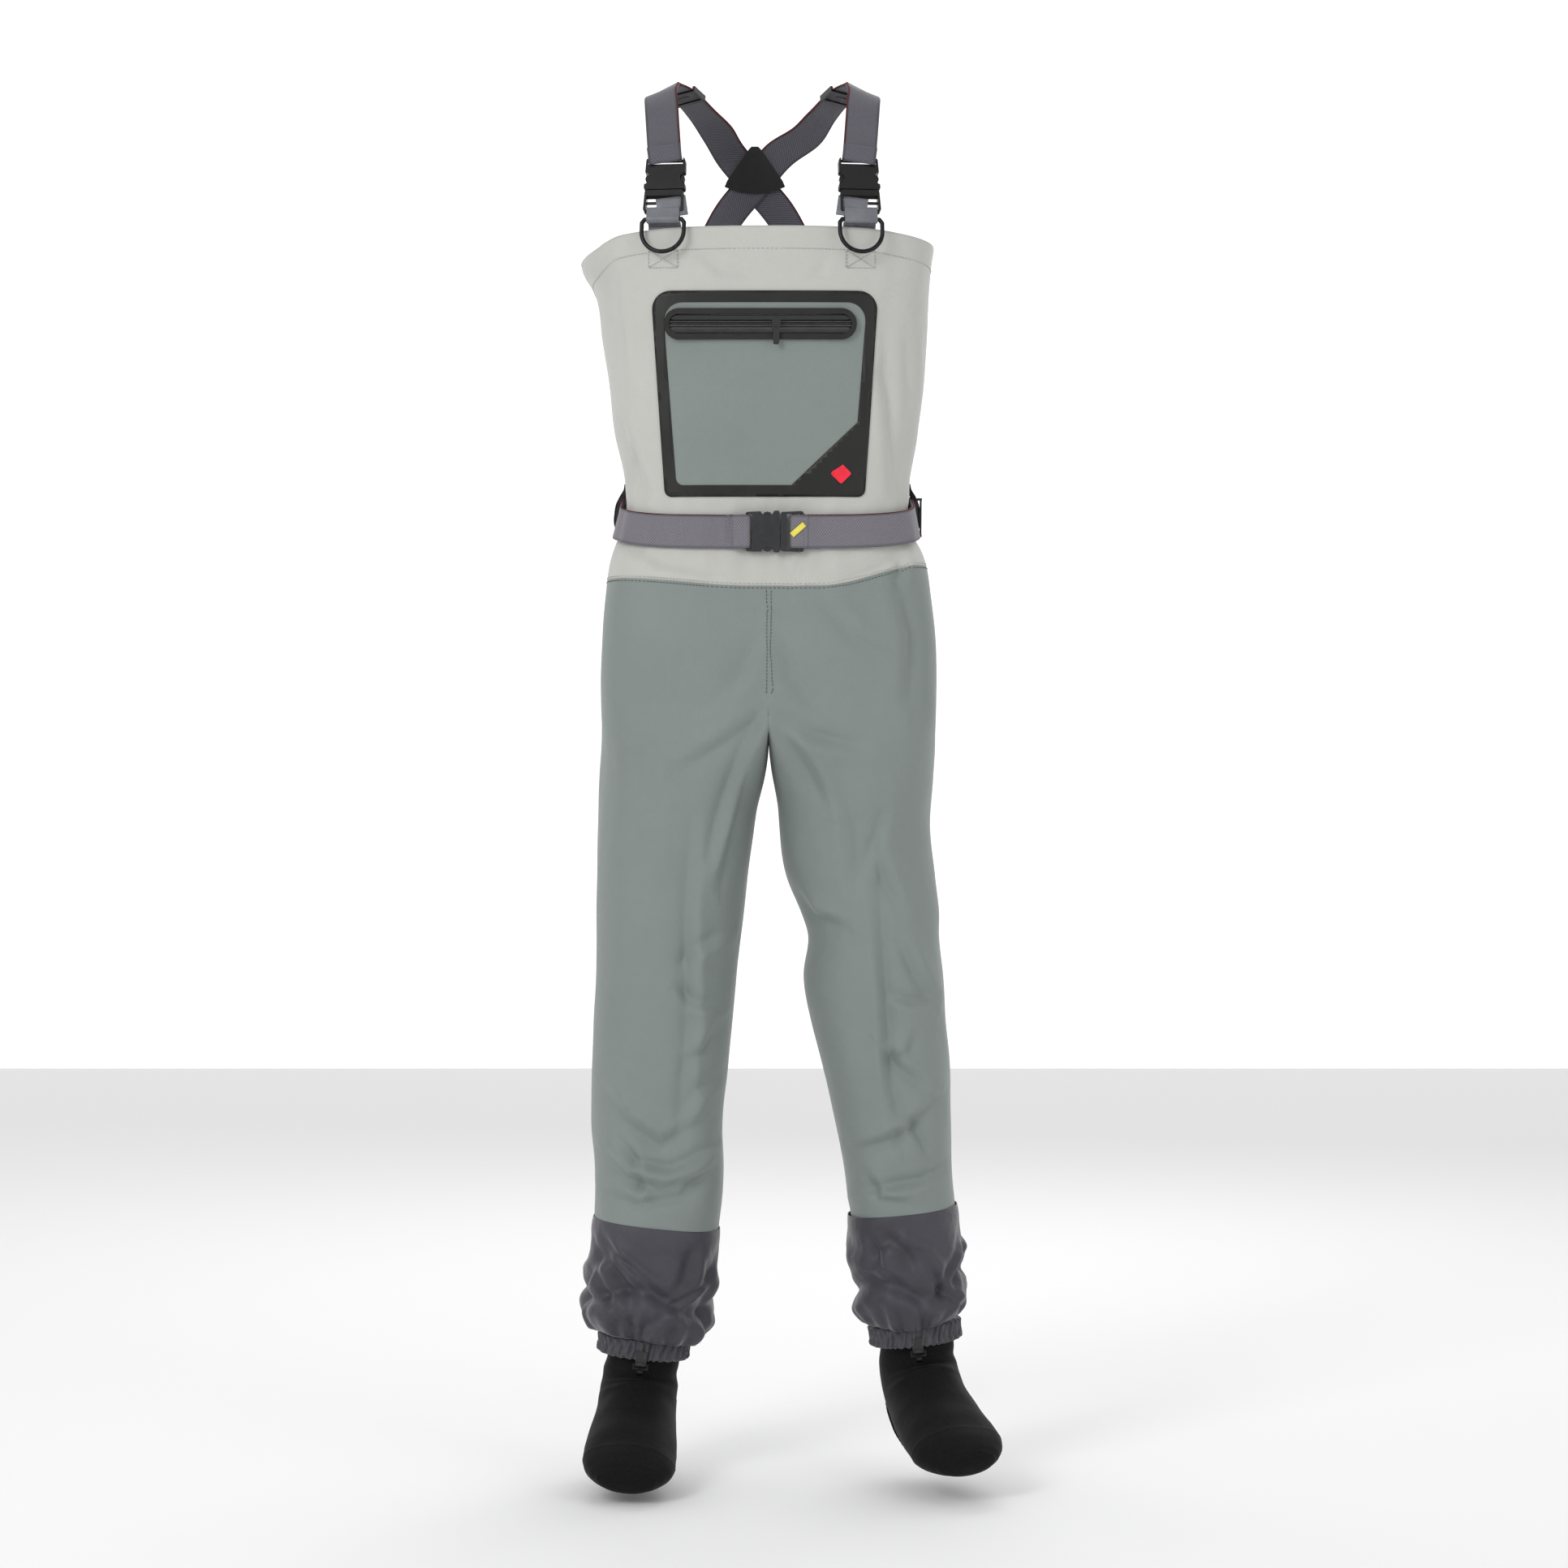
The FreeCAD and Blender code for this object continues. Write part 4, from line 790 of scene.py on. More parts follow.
FRONT_CREASES: tuple[Crease, ...] = (
    Crease(((0.112, -0.225), (0.124, -0.290), (0.140, -0.380), (0.148, -0.480)), 0.013, 0.0055, -1),
    Crease(((0.160, -0.300), (0.165, -0.400), (0.158, -0.480)), 0.012, 0.0030, 1),
    Crease(((-0.185, -0.225), (-0.176, -0.300), (-0.166, -0.380)), 0.014, 0.0035, 1),
    Crease(((-0.168, -0.405), (-0.152, -0.450), (-0.140, -0.485)), 0.010, 0.0045, 1),
    Crease(((-0.150, -0.430), (-0.160, -0.490)), 0.008, 0.0030, -1),
    Crease(((-0.120, -0.225), (-0.126, -0.258)), 0.006, 0.0020, 1),
    Crease(((0.080, -0.205), (0.060, -0.240), (0.036, -0.252)), 0.008, 0.0018, 1),
    Crease(((-0.085, -0.205), (-0.050, -0.235), (0.010, -0.245)), 0.010, 0.0018, -1),
    Crease(((0.150, -0.545), (0.120, -0.562), (0.070, -0.580)), 0.009, 0.0028, 1),
    Crease(((0.155, -0.552), (0.148, -0.590)), 0.008, 0.0030, 1),
    Crease(((-0.160, -0.540), (-0.120, -0.560), (-0.060, -0.572)), 0.010, 0.0022, -1),
    Crease(((0.040, -0.556), (0.030, -0.590)), 0.007, 0.0022, 1),
    Crease(((0.150, -0.580), (0.166, -0.640), (0.164, -0.720)), 0.014, 0.0050, -1),
    Crease(((0.060, -0.600), (0.100, -0.650), (0.150, -0.680)), 0.012, 0.0030, 1),
    Crease(((0.015, -0.640), (0.030, -0.690), (0.060, -0.730)), 0.014, 0.0030, -1),
    Crease(((-0.010, -0.640), (-0.030, -0.690), (-0.060, -0.720)), 0.014, 0.0022, 1),
    Crease(((-0.004, -0.725), (-0.030, -0.775), (-0.055, -0.850), (-0.068, -0.900)), 0.010, 0.0045, 1),
    Crease(((-0.006, -0.735), (-0.050, -0.770), (-0.100, -0.800)), 0.012, 0.0030, -1),
    Crease(((-0.020, -0.780), (-0.034, -0.850), (-0.052, -0.930)), 0.009, 0.0035, -1),
    Crease(((0.012, -0.730), (0.050, -0.755), (0.110, -0.770)), 0.012, 0.0042, -1),
    Crease(((0.014, -0.745), (0.040, -0.790), (0.070, -0.840)), 0.012, 0.0036, 1),
    Crease(((0.080, -0.800), (0.100, -0.860), (0.105, -0.930)), 0.014, 0.0030, -1),
    Crease(((-0.085, -0.850), (-0.092, -0.960), (-0.090, -1.080), (-0.102, -1.220)), 0.012, 0.0042, 1),
    Crease(((-0.135, -0.700), (-0.140, -0.820), (-0.138, -0.960)), 0.020, 0.0022, -1),
    Crease(((-0.048, -0.980), (-0.080, -0.996), (-0.100, -1.020)), 0.010, 0.0034, 1),
    Crease(((-0.100, -1.040), (-0.080, -1.060), (-0.056, -1.062)), 0.009, 0.0034, -1),
    Crease(((-0.090, -1.130), (-0.070, -1.115), (-0.054, -1.090)), 0.010, 0.0034, 1),
    Crease(((-0.100, -1.190), (-0.082, -1.160), (-0.060, -1.150)), 0.010, 0.0030, -1),
    Crease(((-0.190, -1.160), (-0.160, -1.200), (-0.120, -1.225), (-0.080, -1.200)), 0.012, 0.0046, 1),
    Crease(((-0.185, -1.235), (-0.160, -1.262), (-0.120, -1.275), (-0.070, -1.262)), 0.010, 0.0052, 1),
    Crease(((-0.170, -1.215), (-0.150, -1.240), (-0.110, -1.248), (-0.062, -1.225)), 0.008, 0.0042, -1),
    Crease(((-0.190, -1.275), (-0.150, -1.292), (-0.095, -1.282), (-0.060, -1.250)), 0.009, 0.0044, 1),
    Crease(((-0.155, -1.230), (-0.142, -1.262), (-0.150, -1.290)), 0.007, 0.0030, 1),
    Crease(((0.120, -0.880), (0.134, -0.925), (0.150, -0.955)), 0.011, 0.0040, 1),
    Crease(((0.108, -0.905), (0.124, -0.870), (0.132, -0.840)), 0.010, 0.0030, -1),
    Crease(((0.128, -0.930), (0.136, -1.040), (0.142, -1.140), (0.152, -1.220)), 0.011, 0.0046, -1),
    Crease(((0.030, -0.935), (0.050, -0.965), (0.085, -0.975)), 0.010, 0.0044, 1),
    Crease(((0.148, -0.985), (0.170, -1.030), (0.188, -1.060)), 0.010, 0.0042, 1),
    Crease(((0.140, -1.050), (0.165, -1.058), (0.190, -1.052)), 0.009, 0.0038, -1),
    Crease(((0.128, -1.110), (0.150, -1.135), (0.180, -1.160)), 0.010, 0.0044, 1),
    Crease(((0.172, -1.095), (0.160, -1.120), (0.140, -1.125)), 0.008, 0.0030, -1),
    Crease(((0.095, -1.232), (0.130, -1.222), (0.165, -1.205), (0.195, -1.170)), 0.010, 0.0052, 1),
    Crease(((0.152, -1.180), (0.172, -1.205), (0.186, -1.240)), 0.009, 0.0042, -1),
    Crease(((0.105, -1.275), (0.140, -1.268), (0.175, -1.262), (0.205, -1.245)), 0.009, 0.0046, -1),
    Crease(((0.112, -1.255), (0.128, -1.285), (0.160, -1.290)), 0.008, 0.0036, 1),
)
BACK_CREASES: tuple[Crease, ...] = (
    Crease(((-0.130, -0.300), (-0.120, -0.400), (-0.090, -0.480)), 0.016, 0.0045, 1, True),
    Crease(((0.120, -0.290), (0.124, -0.390), (0.100, -0.480)), 0.016, 0.0045, -1, True),
    Crease(((-0.040, -0.380), (-0.030, -0.450), (-0.034, -0.490)), 0.012, 0.0030, 1, True),
    Crease(((0.050, -0.400), (0.040, -0.490)), 0.012, 0.0030, -1, True),
    Crease(((-0.150, -0.560), (-0.090, -0.620), (-0.020, -0.650)), 0.016, 0.0045, 1, True),
    Crease(((0.150, -0.560), (0.090, -0.630), (0.020, -0.660)), 0.016, 0.0045, -1, True),
    Crease(((-0.160, -0.760), (-0.110, -0.800), (-0.050, -0.805)), 0.012, 0.0055, 1, True),
    Crease(((0.160, -0.765), (0.110, -0.805), (0.050, -0.800)), 0.012, 0.0055, 1, True),
    Crease(((-0.150, -0.830), (-0.110, -0.850), (-0.060, -0.840)), 0.012, 0.0035, -1, True),
    Crease(((-0.180, -0.960), (-0.120, -0.990), (-0.050, -0.975)), 0.011, 0.0055, 1, True),
    Crease(((-0.170, -1.010), (-0.110, -1.030), (-0.060, -1.010)), 0.011, 0.0050, -1, True),
    Crease(((0.060, -0.970), (0.120, -0.990), (0.180, -0.965)), 0.011, 0.0055, 1, True),
    Crease(((0.070, -1.020), (0.130, -1.035), (0.190, -1.015)), 0.011, 0.0050, -1, True),
    Crease(((-0.180, -1.180), (-0.120, -1.210), (-0.070, -1.190)), 0.011, 0.0050, 1, True),
    Crease(((-0.175, -1.250), (-0.120, -1.270), (-0.070, -1.255)), 0.010, 0.0050, -1, True),
    Crease(((0.100, -1.180), (0.150, -1.200), (0.200, -1.180)), 0.011, 0.0050, 1, True),
    Crease(((0.110, -1.250), (0.150, -1.265), (0.205, -1.250)), 0.010, 0.0050, -1, True),
)


@dataclass
class ClothPanels:
    """Parts the garment's sheet into its panels and adds the facing and the seam tapes."""

    garment: Garment
    finishes: Finishes
    facing_deep: float = 0.030
    tape_wide: float = 0.018

    def part(self, sheet: bmesh.types.BMesh, panels: set[int]) -> bmesh.types.BMesh:
        """A copy of the sheet with only some of its panels."""
        bm = sheet.copy()
        layer = bm.faces.layers.int["panel"]
        away = [f for f in bm.faces if f[layer] not in panels]
        bmesh.ops.delete(bm, geom=away, context="FACES")
        return bm

    def strip(self, sheet: bmesh.types.BMesh, name: str, keep: Callable[[Vector], bool], inset: float, depth: float,
              material: bpy.types.Material) -> bpy.types.Object:
        """A layer laid along part of the sheet.

        Args:
            sheet: The garment's sheet.
            name: The new piece's name.
            keep: Says which faces it covers, by their middles.
            inset: How far inside the sheet it lies; negative is outside.
            depth: Its thickness.
            material: Its finish.

        Returns:
            The new piece.
        """
        bm = sheet.copy()
        bmesh.ops.delete(bm, geom=[f for f in bm.faces if not keep(f.calc_center_median())], context="FACES")
        for vert, n in [(v, v.normal.copy()) for v in bm.verts]:
            vert.co -= n * inset
        obj = piece(bm, name, material, "bib")
        thicken(obj, depth)
        return obj

    def build(self, sheet: bmesh.types.BMesh) -> BVHTree:
        """Make every cloth piece.

        Args:
            sheet: The garment's folded sheet.

        Returns:
            The sheet as a tree, for laying patches on it.
        """
        g, fin = self.garment, self.finishes
        bib = piece(self.part(sheet, {0}), "bib_cloth", fin.bib, "bib")
        thicken(bib, g.cloth)
        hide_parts("bib_front_panel", "bib_back_panel")
        for n, side in enumerate(Side):
            s, x = side.value, side.sign * 0.1
            upper = piece(self.part(sheet, {1 + n}), f"{s}_seat_and_thigh", fin.legs, "")
            thicken(upper, g.cloth, rim=False)
            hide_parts(f"{s}_seat_panel", f"{s}_hip_cloth", f"{s}_thigh")
            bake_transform(upper)
            lower = piece(self.part(sheet, {3 + n}), f"{s}_leg_cloth", fin.legs, "")
            thicken(lower, g.cloth, rim=False)
            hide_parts(f"{s}_knee_cloth", f"{s}_shin")
            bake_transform(lower)
        hem = lambda c: float(g.hem(np.array([c.x]), np.array([c.y]))[0])
        line = lambda c: float(g.hip_line(np.array([c.x]))[0])
        facing = self.strip(
            sheet, "top_facing", lambda c: c.z > hem(c) - self.facing_deep, g.cloth + 0.0003,
            0.0010, fin.facing
        )
        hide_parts("top_hem_facing")
        tapes = self.strip(sheet, "inner_seam_tapes", lambda c: abs(c.z - line(c)) < self.tape_wide / 2 or (
            abs(c.x - g.middle) < 0.009 and -0.715 < c.z < line(c)), g.cloth + 0.0003, 0.0005, fin.seam_tape)
        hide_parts("seam_tapes")
        bm = sheet.copy()
        bm.normal_update()
        tree = BVHTree.FromBMesh(bm)
        bm.free()
        return tree


@dataclass
class Stitching:
    """Rows of thread laid on the cloth: short stitches, each a little pill of thread."""

    tree: BVHTree
    material: bpy.types.Material
    length: float = 0.0026
    pitch: float = 0.0036
    thread: float = 0.00045

    def row(self, name: str, points: Sequence[Point], body: str = "bib") -> bpy.types.Object:
        """Sew along a line of points that is dropped onto the cloth from in front.

        Args:
            name: The piece's name.
            points: Corners of the line.
            body: The body it rides on.

        Returns:
            The stitches as one piece.
        """
        bm = bmesh.new()
        for a, b in zip(points, points[1:]):
            a, b = Vector(a), Vector(b)
            count = max(1, int((b - a).length / self.pitch))
            along = (b - a).normalized()
            for k in range(count):
                at = a.lerp(b, (k + 0.5) / count)
                hit, normal, _, _ = self.tree.find_nearest(at)
                if hit is None:
                    continue
                made = bmesh.ops.create_cube(bm, size=1.0)["verts"]
                side = along.cross(normal).normalized()
                turn = Matrix((along, side, normal)).transposed().to_4x4()
                turn.translation = hit + normal * self.thread * 0.4
                size = Matrix.Diagonal((self.length, self.thread * 1.6, self.thread * 1.6, 1.0))
                bmesh.ops.transform(bm, matrix=turn @ size, verts=made)
        return piece(bm, name, self.material, body)


@dataclass
class ChestPocket:
    """The zipped pocket bonded to the bib: panel, black border with its corner patch, and a small badge."""

    finishes: Finishes
    tree: BVHTree
    top: float = -0.258
    low: float = -0.488
    half_top: float = 0.128
    half_low: float = 0.113
    middle: float = -0.002
    border: float = 0.013
    corner: float = 0.070
    layer: float = 0.0008
    badge_at: tuple[float, float] = (0.084, -0.462)

    def outline(self, inset: float) -> list[Vector]:
        """Corners of the pocket with rounded ends, drawn in by inset, in the XZ plane."""
        wide, narrow = self.half_top - inset, self.half_low - inset
        top, low = self.top - inset, self.low + inset
        bm = bmesh.new()
        corners = [(-narrow, low), (narrow, low), (wide, top), (-wide, top)]
        verts = [bm.verts.new((self.middle + x, 0, z)) for x, z in corners]
        bm.faces.new(verts)
        bmesh.ops.bevel(
            bm, geom=verts[2:], offset=0.022, segments=10, profile=0.5, affect="VERTICES",
            material=-1
        )
        lower = [v for v in bm.verts if v.co.z < low + 0.001]
        bmesh.ops.bevel(bm, geom=lower, offset=0.008, segments=5, profile=0.5, affect="VERTICES", material=-1)
        loops = [loop.vert.co.copy() for loop in bm.faces[:][0].loops]
        bm.free()
        return loops

    def lay(self, bm: bmesh.types.BMesh, lift: float, cell: float = 0.006) -> None:
        """Divide a flat outline into small cells and lay it on the bib.

        Args:
            bm: The flat mesh, in the XZ plane.
            lift: Height above the cloth.
            cell: Size of a cell.
        """
        low = Vector((min(v.co.x for v in bm.verts), 0, min(v.co.z for v in bm.verts)))
        high = Vector((max(v.co.x for v in bm.verts), 0, max(v.co.z for v in bm.verts)))
        for axis, start, end in ((0, low.x, high.x), (2, low.z, high.z)):
            count = max(1, int((end - start) / cell))
            for k in range(1, count):
                at = Vector((0, 0, 0))
                at[axis] = start + (end - start) * k / count
                plane = Vector((0, 0, 0))
                plane[axis] = 1.0
                geom = bm.verts[:] + bm.edges[:] + bm.faces[:]
                bmesh.ops.bisect_plane(bm, geom=geom, plane_co=at, plane_no=plane)
        for vert in bm.verts:
            hit, normal, _, _ = self.tree.ray_cast(Vector((vert.co.x, -0.4, vert.co.z)), Vector((0, 1, 0)))
            depth = hit.y if hit is not None else -0.128
            vert.co.y = depth - lift

    def sheet_of(self, loop: Sequence[Vector]) -> bmesh.types.BMesh:
        """A flat face with this outline."""
        bm = bmesh.new()
        bm.faces.new([bm.verts.new(p) for p in loop])
        return bm

    def face_front(self, bm: bmesh.types.BMesh) -> None:
        """Turn every face towards the front."""
        bm.normal_update()
        bmesh.ops.reverse_faces(bm, faces=[f for f in bm.faces if f.normal.y > 0])

    def make_border(self) -> bmesh.types.BMesh:
        """The welded border, widened across the lower right corner."""
        inner = self.outline(self.border)
        right, low = self.middle + self.half_low - self.border, self.low + self.border
        edge = (self.half_top - self.half_low) / (self.top - self.low) * self.corner
        cut_a, cut_b = Vector((right + edge, 0, low + self.corner)), Vector((right - self.corner, 0, low))
        slope = cut_a - cut_b
        kept = [p for p in inner if slope.x * (p.z - cut_b.z) - slope.z * (p.x - cut_b.x) > 0]
        split = max(range(len(kept)), key=lambda i: (kept[i] - kept[(i + 1) % len(kept)]).length)
        forward = (kept[split] - cut_b).length < (kept[split] - cut_a).length
        ends = [cut_b, cut_a] if forward else [cut_a, cut_b]
        ring = kept[: split + 1] + ends + kept[split + 1:]
        bm = self.sheet_of(self.outline(0.0))
        centre = sum(ring, Vector()) / len(ring)
        planes = [
            (p, (q - p).cross(Vector((0, 1, 0))).normalized()) for p,
            q in zip(ring, ring[1:] + ring[:1]) if (q - p).length > 1e-6
        ]
        for p, normal in planes:
            geom = bm.verts[:] + bm.edges[:] + bm.faces[:]
            bmesh.ops.bisect_plane(bm, geom=geom, dist=1e-6, plane_co=p, plane_no=normal)
        facing = [(p, n if n.dot(centre - p) > 0 else -n) for p, n in planes]
        hole = [f for f in bm.faces if all(n.dot(f.calc_center_median() - p) > 0 for p, n in facing)]
        bmesh.ops.delete(bm, geom=hole, context="FACES")
        return bm

    def build(self) -> None:
        """Make the panel, border and badge."""
        fin = self.finishes
        bm = self.sheet_of(self.outline(0.004))
        self.lay(bm, self.layer)
        self.face_front(bm)
        panel = piece(bm, "pocket_cloth", fin.pocket, "bib")
        thicken(panel, self.layer * 0.8)
        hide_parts("pocket_panel")
        bm = self.make_border()
        self.lay(bm, self.layer * 2)
        self.face_front(bm)
        border = piece(bm, "pocket_welded_border", fin.tape, "bib")
        thicken(border, self.layer * 0.9)
        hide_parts("pocket_border")
        self.make_badge()

    def make_coil(self) -> None:
        """The closed coil under its glossy coating: two ridges with a groove between, ribbed across."""
        middle, deep = (-0.007, -0.2955), -0.1309
        long, tall = 0.2035, 0.0205

        def place(across: np.ndarray, along: np.ndarray) -> np.ndarray:
            """Carry the strip's corners."""
            v = (along - 0.5) * 2
            x = middle[0] + (across - 0.5) * long * np.sqrt(np.clip(1 - (v * tall / long) ** 2, 0, 1))
            ridge = 0.0026 * (np.exp(-(((np.abs(v) - 0.20) / 0.17) ** 2)) - 0.6 * np.exp(-((v / 0.06) ** 2)))
            film = 0.0007 * np.cos(v * 2.6) + 0.0003 * np.sin(across * 37) * np.exp(-((v / 0.8) ** 2))
            tooth = 0.00032 * np.sin(across * long / 0.0016 * 2 * np.pi) * np.exp(-(((np.abs(v) - 0.22) / 0.2) ** 2))
            return np.stack([x, deep - ridge - film - tooth, middle[1] + v * tall / 2], 1)

        bm = grid(520, 26, place)
        bm.normal_update()
        self.face_front(bm)
        coil = piece(bm, "coated_coil", self.finishes.gloss, "bib")
        thicken(coil, 0.0006)
        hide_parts("zip_chain")

    def make_badge(self) -> None:
        """A small domed red diamond of moulded rubber."""
        x, z = self.badge_at
        bm = bmesh.new()
        bmesh.ops.create_grid(bm, x_segments=1, y_segments=1, size=0.0085)
        corners = bm.verts[:]
        bmesh.ops.bevel(
            bm, geom=corners, offset=0.0022, segments=6, profile=0.5, affect="VERTICES", material=-1
        )
        made = bmesh.ops.inset_region(
            bm, faces=bm.faces[:], thickness=0.0012, depth=0.0012, use_even_offset=True
        )
        core = [f for f in bm.faces if f not in made["faces"]]
        made = bmesh.ops.inset_region(bm, faces=core, thickness=0.0016, depth=0.0, use_even_offset=True)
        hit, _, _, _ = self.tree.ray_cast(Vector((x, -0.4, z)), Vector((0, 1, 0)))
        turn = Matrix.Rotation(math.radians(90), 4, "X") @ Matrix.Rotation(math.radians(45), 4, "Z")
        turn = Matrix.Translation((x, (hit.y if hit else -0.118) - self.layer * 2, z)) @ turn
        bmesh.ops.transform(bm, matrix=turn, verts=bm.verts[:])
        face_out(bm)
        self.face_front(bm)
        badge = piece(bm, "red_badge", self.finishes.red, "bib")
        self.make_coil()
        for node, material in (("zip_surround", self.finishes.tape),
                               ("zip_slider", self.finishes.gloss), ("zip_pull", self.finishes.gloss)):
            Braces.paint(node, material)
        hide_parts("corner_badge")


# --- Straps ----------------------------------------------------------------------------------------


@dataclass
class Strap:
    """A length of webbing that follows stations, each a middle, an across direction and an outward one.

    Attributes:
        name: The piece's name.
        stations: Where the strap runs.
        material: Its finish.
        body: The body it rides on, or an empty string.
        width: Its width.
        thick: Its thickness.
        lift: How far out of the stations' line its middle lies.
        wave: Height of the slow waves that slack webbing has.
    """

    name: str
    stations: Sequence[tuple[Point, Point, Point]]
    material: bpy.types.Material
    body: str = "bib"
    width: float = 0.038
    thick: float = 0.0019
    lift: float = 0.0
    wave: float = 0.0
    step: float = 0.004
    held: str = "stretched"
    narrow: ClassVar[float] = 0.010

    def centre(self) -> tuple[np.ndarray, np.ndarray, np.ndarray]:
        """Middles, across and out directions at even steps along a smooth curve."""
        at = [np.array([s[k] for s in self.stations], float) for k in range(3)]
        runs = np.linalg.norm(np.diff(at[0], axis=0), axis=1)
        reach = np.concatenate([[0], np.cumsum(runs)])
        steps = np.linspace(0, reach[-1], max(3, int(reach[-1] / self.step) + 1))
        read = []
        for values in at:
            columns = [follow([(r, v) for r, v in zip(reach, values[:, k])], steps, 1) for k in range(3)]
            read.append(np.stack(columns, 1))
        middle, across, out = read
        across /= np.linalg.norm(across, axis=1)[:, None]
        out -= across * (out * across).sum(1)[:, None]
        out /= np.linalg.norm(out, axis=1)[:, None]
        ends = smooth(np.minimum(steps, reach[-1] - steps) / 0.03)
        middle += out * (self.lift + self.wave * ends * np.sin(steps * 60 + 1.0))[:, None]
        return middle, across, out

    def length(self) -> float:
        """Length along the middle."""
        return float(np.linalg.norm(np.diff(self.centre()[0], axis=0), axis=1).sum())

    def build(self) -> bpy.types.Object:
        """Make the strap with rounded selvedges and a UV map in metres."""
        middle, across, out = self.centre()
        half, edge = self.width / 2, self.thick / 2
        outline = [(-half, -edge * 0.5), (-half + edge, -edge), (-half * 0.5, -edge), (0, -edge), (half * 0.5, -edge),
                   (
                       half - edge, -edge
                   ), (half, -edge * 0.5), (half, edge * 0.5), (half - edge, edge), (half * 0.5, edge),
                   (0, edge), (-half * 0.5, edge), (-half + edge, edge), (-half, edge * 0.5)]
        rows = len(middle) - 1
        reach = np.concatenate([[0], np.cumsum(np.linalg.norm(np.diff(middle, axis=0), axis=1))])
        count = len(outline)

        def place(share: np.ndarray, along: np.ndarray) -> np.ndarray:
            """Carry the tube's corners to the strap's outline."""
            row = np.round(along * rows).astype(int)
            corner = np.round(share * count).astype(int) % count
            table = np.array(outline)[corner]
            return middle[row] + across[row] * table[:, :1] + out[row] * table[:, 1:]

        bm = grid(count, rows, place)
        bm.verts.index_update()
        uv = bm.loops.layers.uv.new("strap")
        plain = bm.loops.layers.uv["cloth"]
        table = outline + outline[:1]
        for face in bm.faces:
            for loop in face.loops:
                share, along = loop[plain].uv
                loop[uv].uv = (table[round(share * count)][0] + half, reach[round(along * rows)])
        bm.loops.layers.uv.remove(bm.loops.layers.uv["cloth"])
        bmesh.ops.remove_doubles(bm, verts=bm.verts[:], dist=1e-7)
        bmesh.ops.holes_fill(bm, edges=[e for e in bm.edges if e.is_boundary], sides=0)
        face_out(bm)
        obj = piece(bm, self.name, self.material, self.body)
        if self.width > self.narrow:
            self.length()
        return obj

    def edging(
            self, name: str, material: bpy.types.Material, side: int, wide: float = 0.0022
    ) -> bpy.types.Object:
        """A thin coloured edge along one selvedge.

        Args:
            name: The piece's name.
            material: Its finish.
            side: Which selvedge, 1 or -1.
            wide: How much of the strap it covers.

        Returns:
            The edging.
        """
        moved = []
        for m, a, o in self.stations:
            a_unit = Vector(a).normalized()
            moved.append((tuple(Vector(m) + a_unit * side * (self.width / 2 - wide * 0.32)), a, o))
        strip = Strap(
            name, moved, material, self.body, wide, self.thick * 1.12, self.lift, self.wave,
            self.step
        )
        return strip.build()


def box_stitch(name: str, at: Vector, across: Vector, along: Vector, half: tuple[float, float],
               material: bpy.types.Material, body: str, layer: float = 0.0) -> bpy.types.Object:
    """A square of machine stitches with a cross in it.

    Args:
        name: The piece's name.
        at: Its middle, on the strap's face.
        across: Unit vector across the strap.
        along: Unit vector along the strap.
        half: Half its size across and along.
        material: The thread's finish.
        body: The body it rides on.
        layer: How far the thread sinks into the strap.

    Returns:
        The stitches as one piece.
    """
    bm = bmesh.new()
    out = across.cross(along).normalized()
    corners = [(-1, -1), (1, -1), (1, 1), (-1, 1)]
    lines = [(corners[i], corners[(i + 1) % 4]) for i in range(4)] + [((-1, -1), (1, 1)), ((-1, 1), (1, -1))]
    for a, b in lines:
        p, q = (at + across * c[0] * half[0] + along * c[1] * half[1] for c in (a, b))
        run = (q - p).normalized()
        count = max(2, int((q - p).length / 0.0034))
        for k in range(count):
            made = bmesh.ops.create_cube(bm, size=1.0)["verts"]
            turn = Matrix((run, run.cross(out), out)).transposed().to_4x4()
            turn.translation = p.lerp(q, (k + 0.5) / count) - out * layer
            bmesh.ops.transform(bm, matrix=turn @ Matrix.Diagonal((0.0024, 0.0008, 0.0007, 1.0)), verts=made)
    return piece(bm, name, material, body)


def scale_stations(rows: Sequence[tuple]) -> list[tuple[Point, Point, Point]]:
    """Stations whose middles are given in millimetres."""
    return [(tuple(c / 1000 for c in m), a, o) for m, a, o in rows]


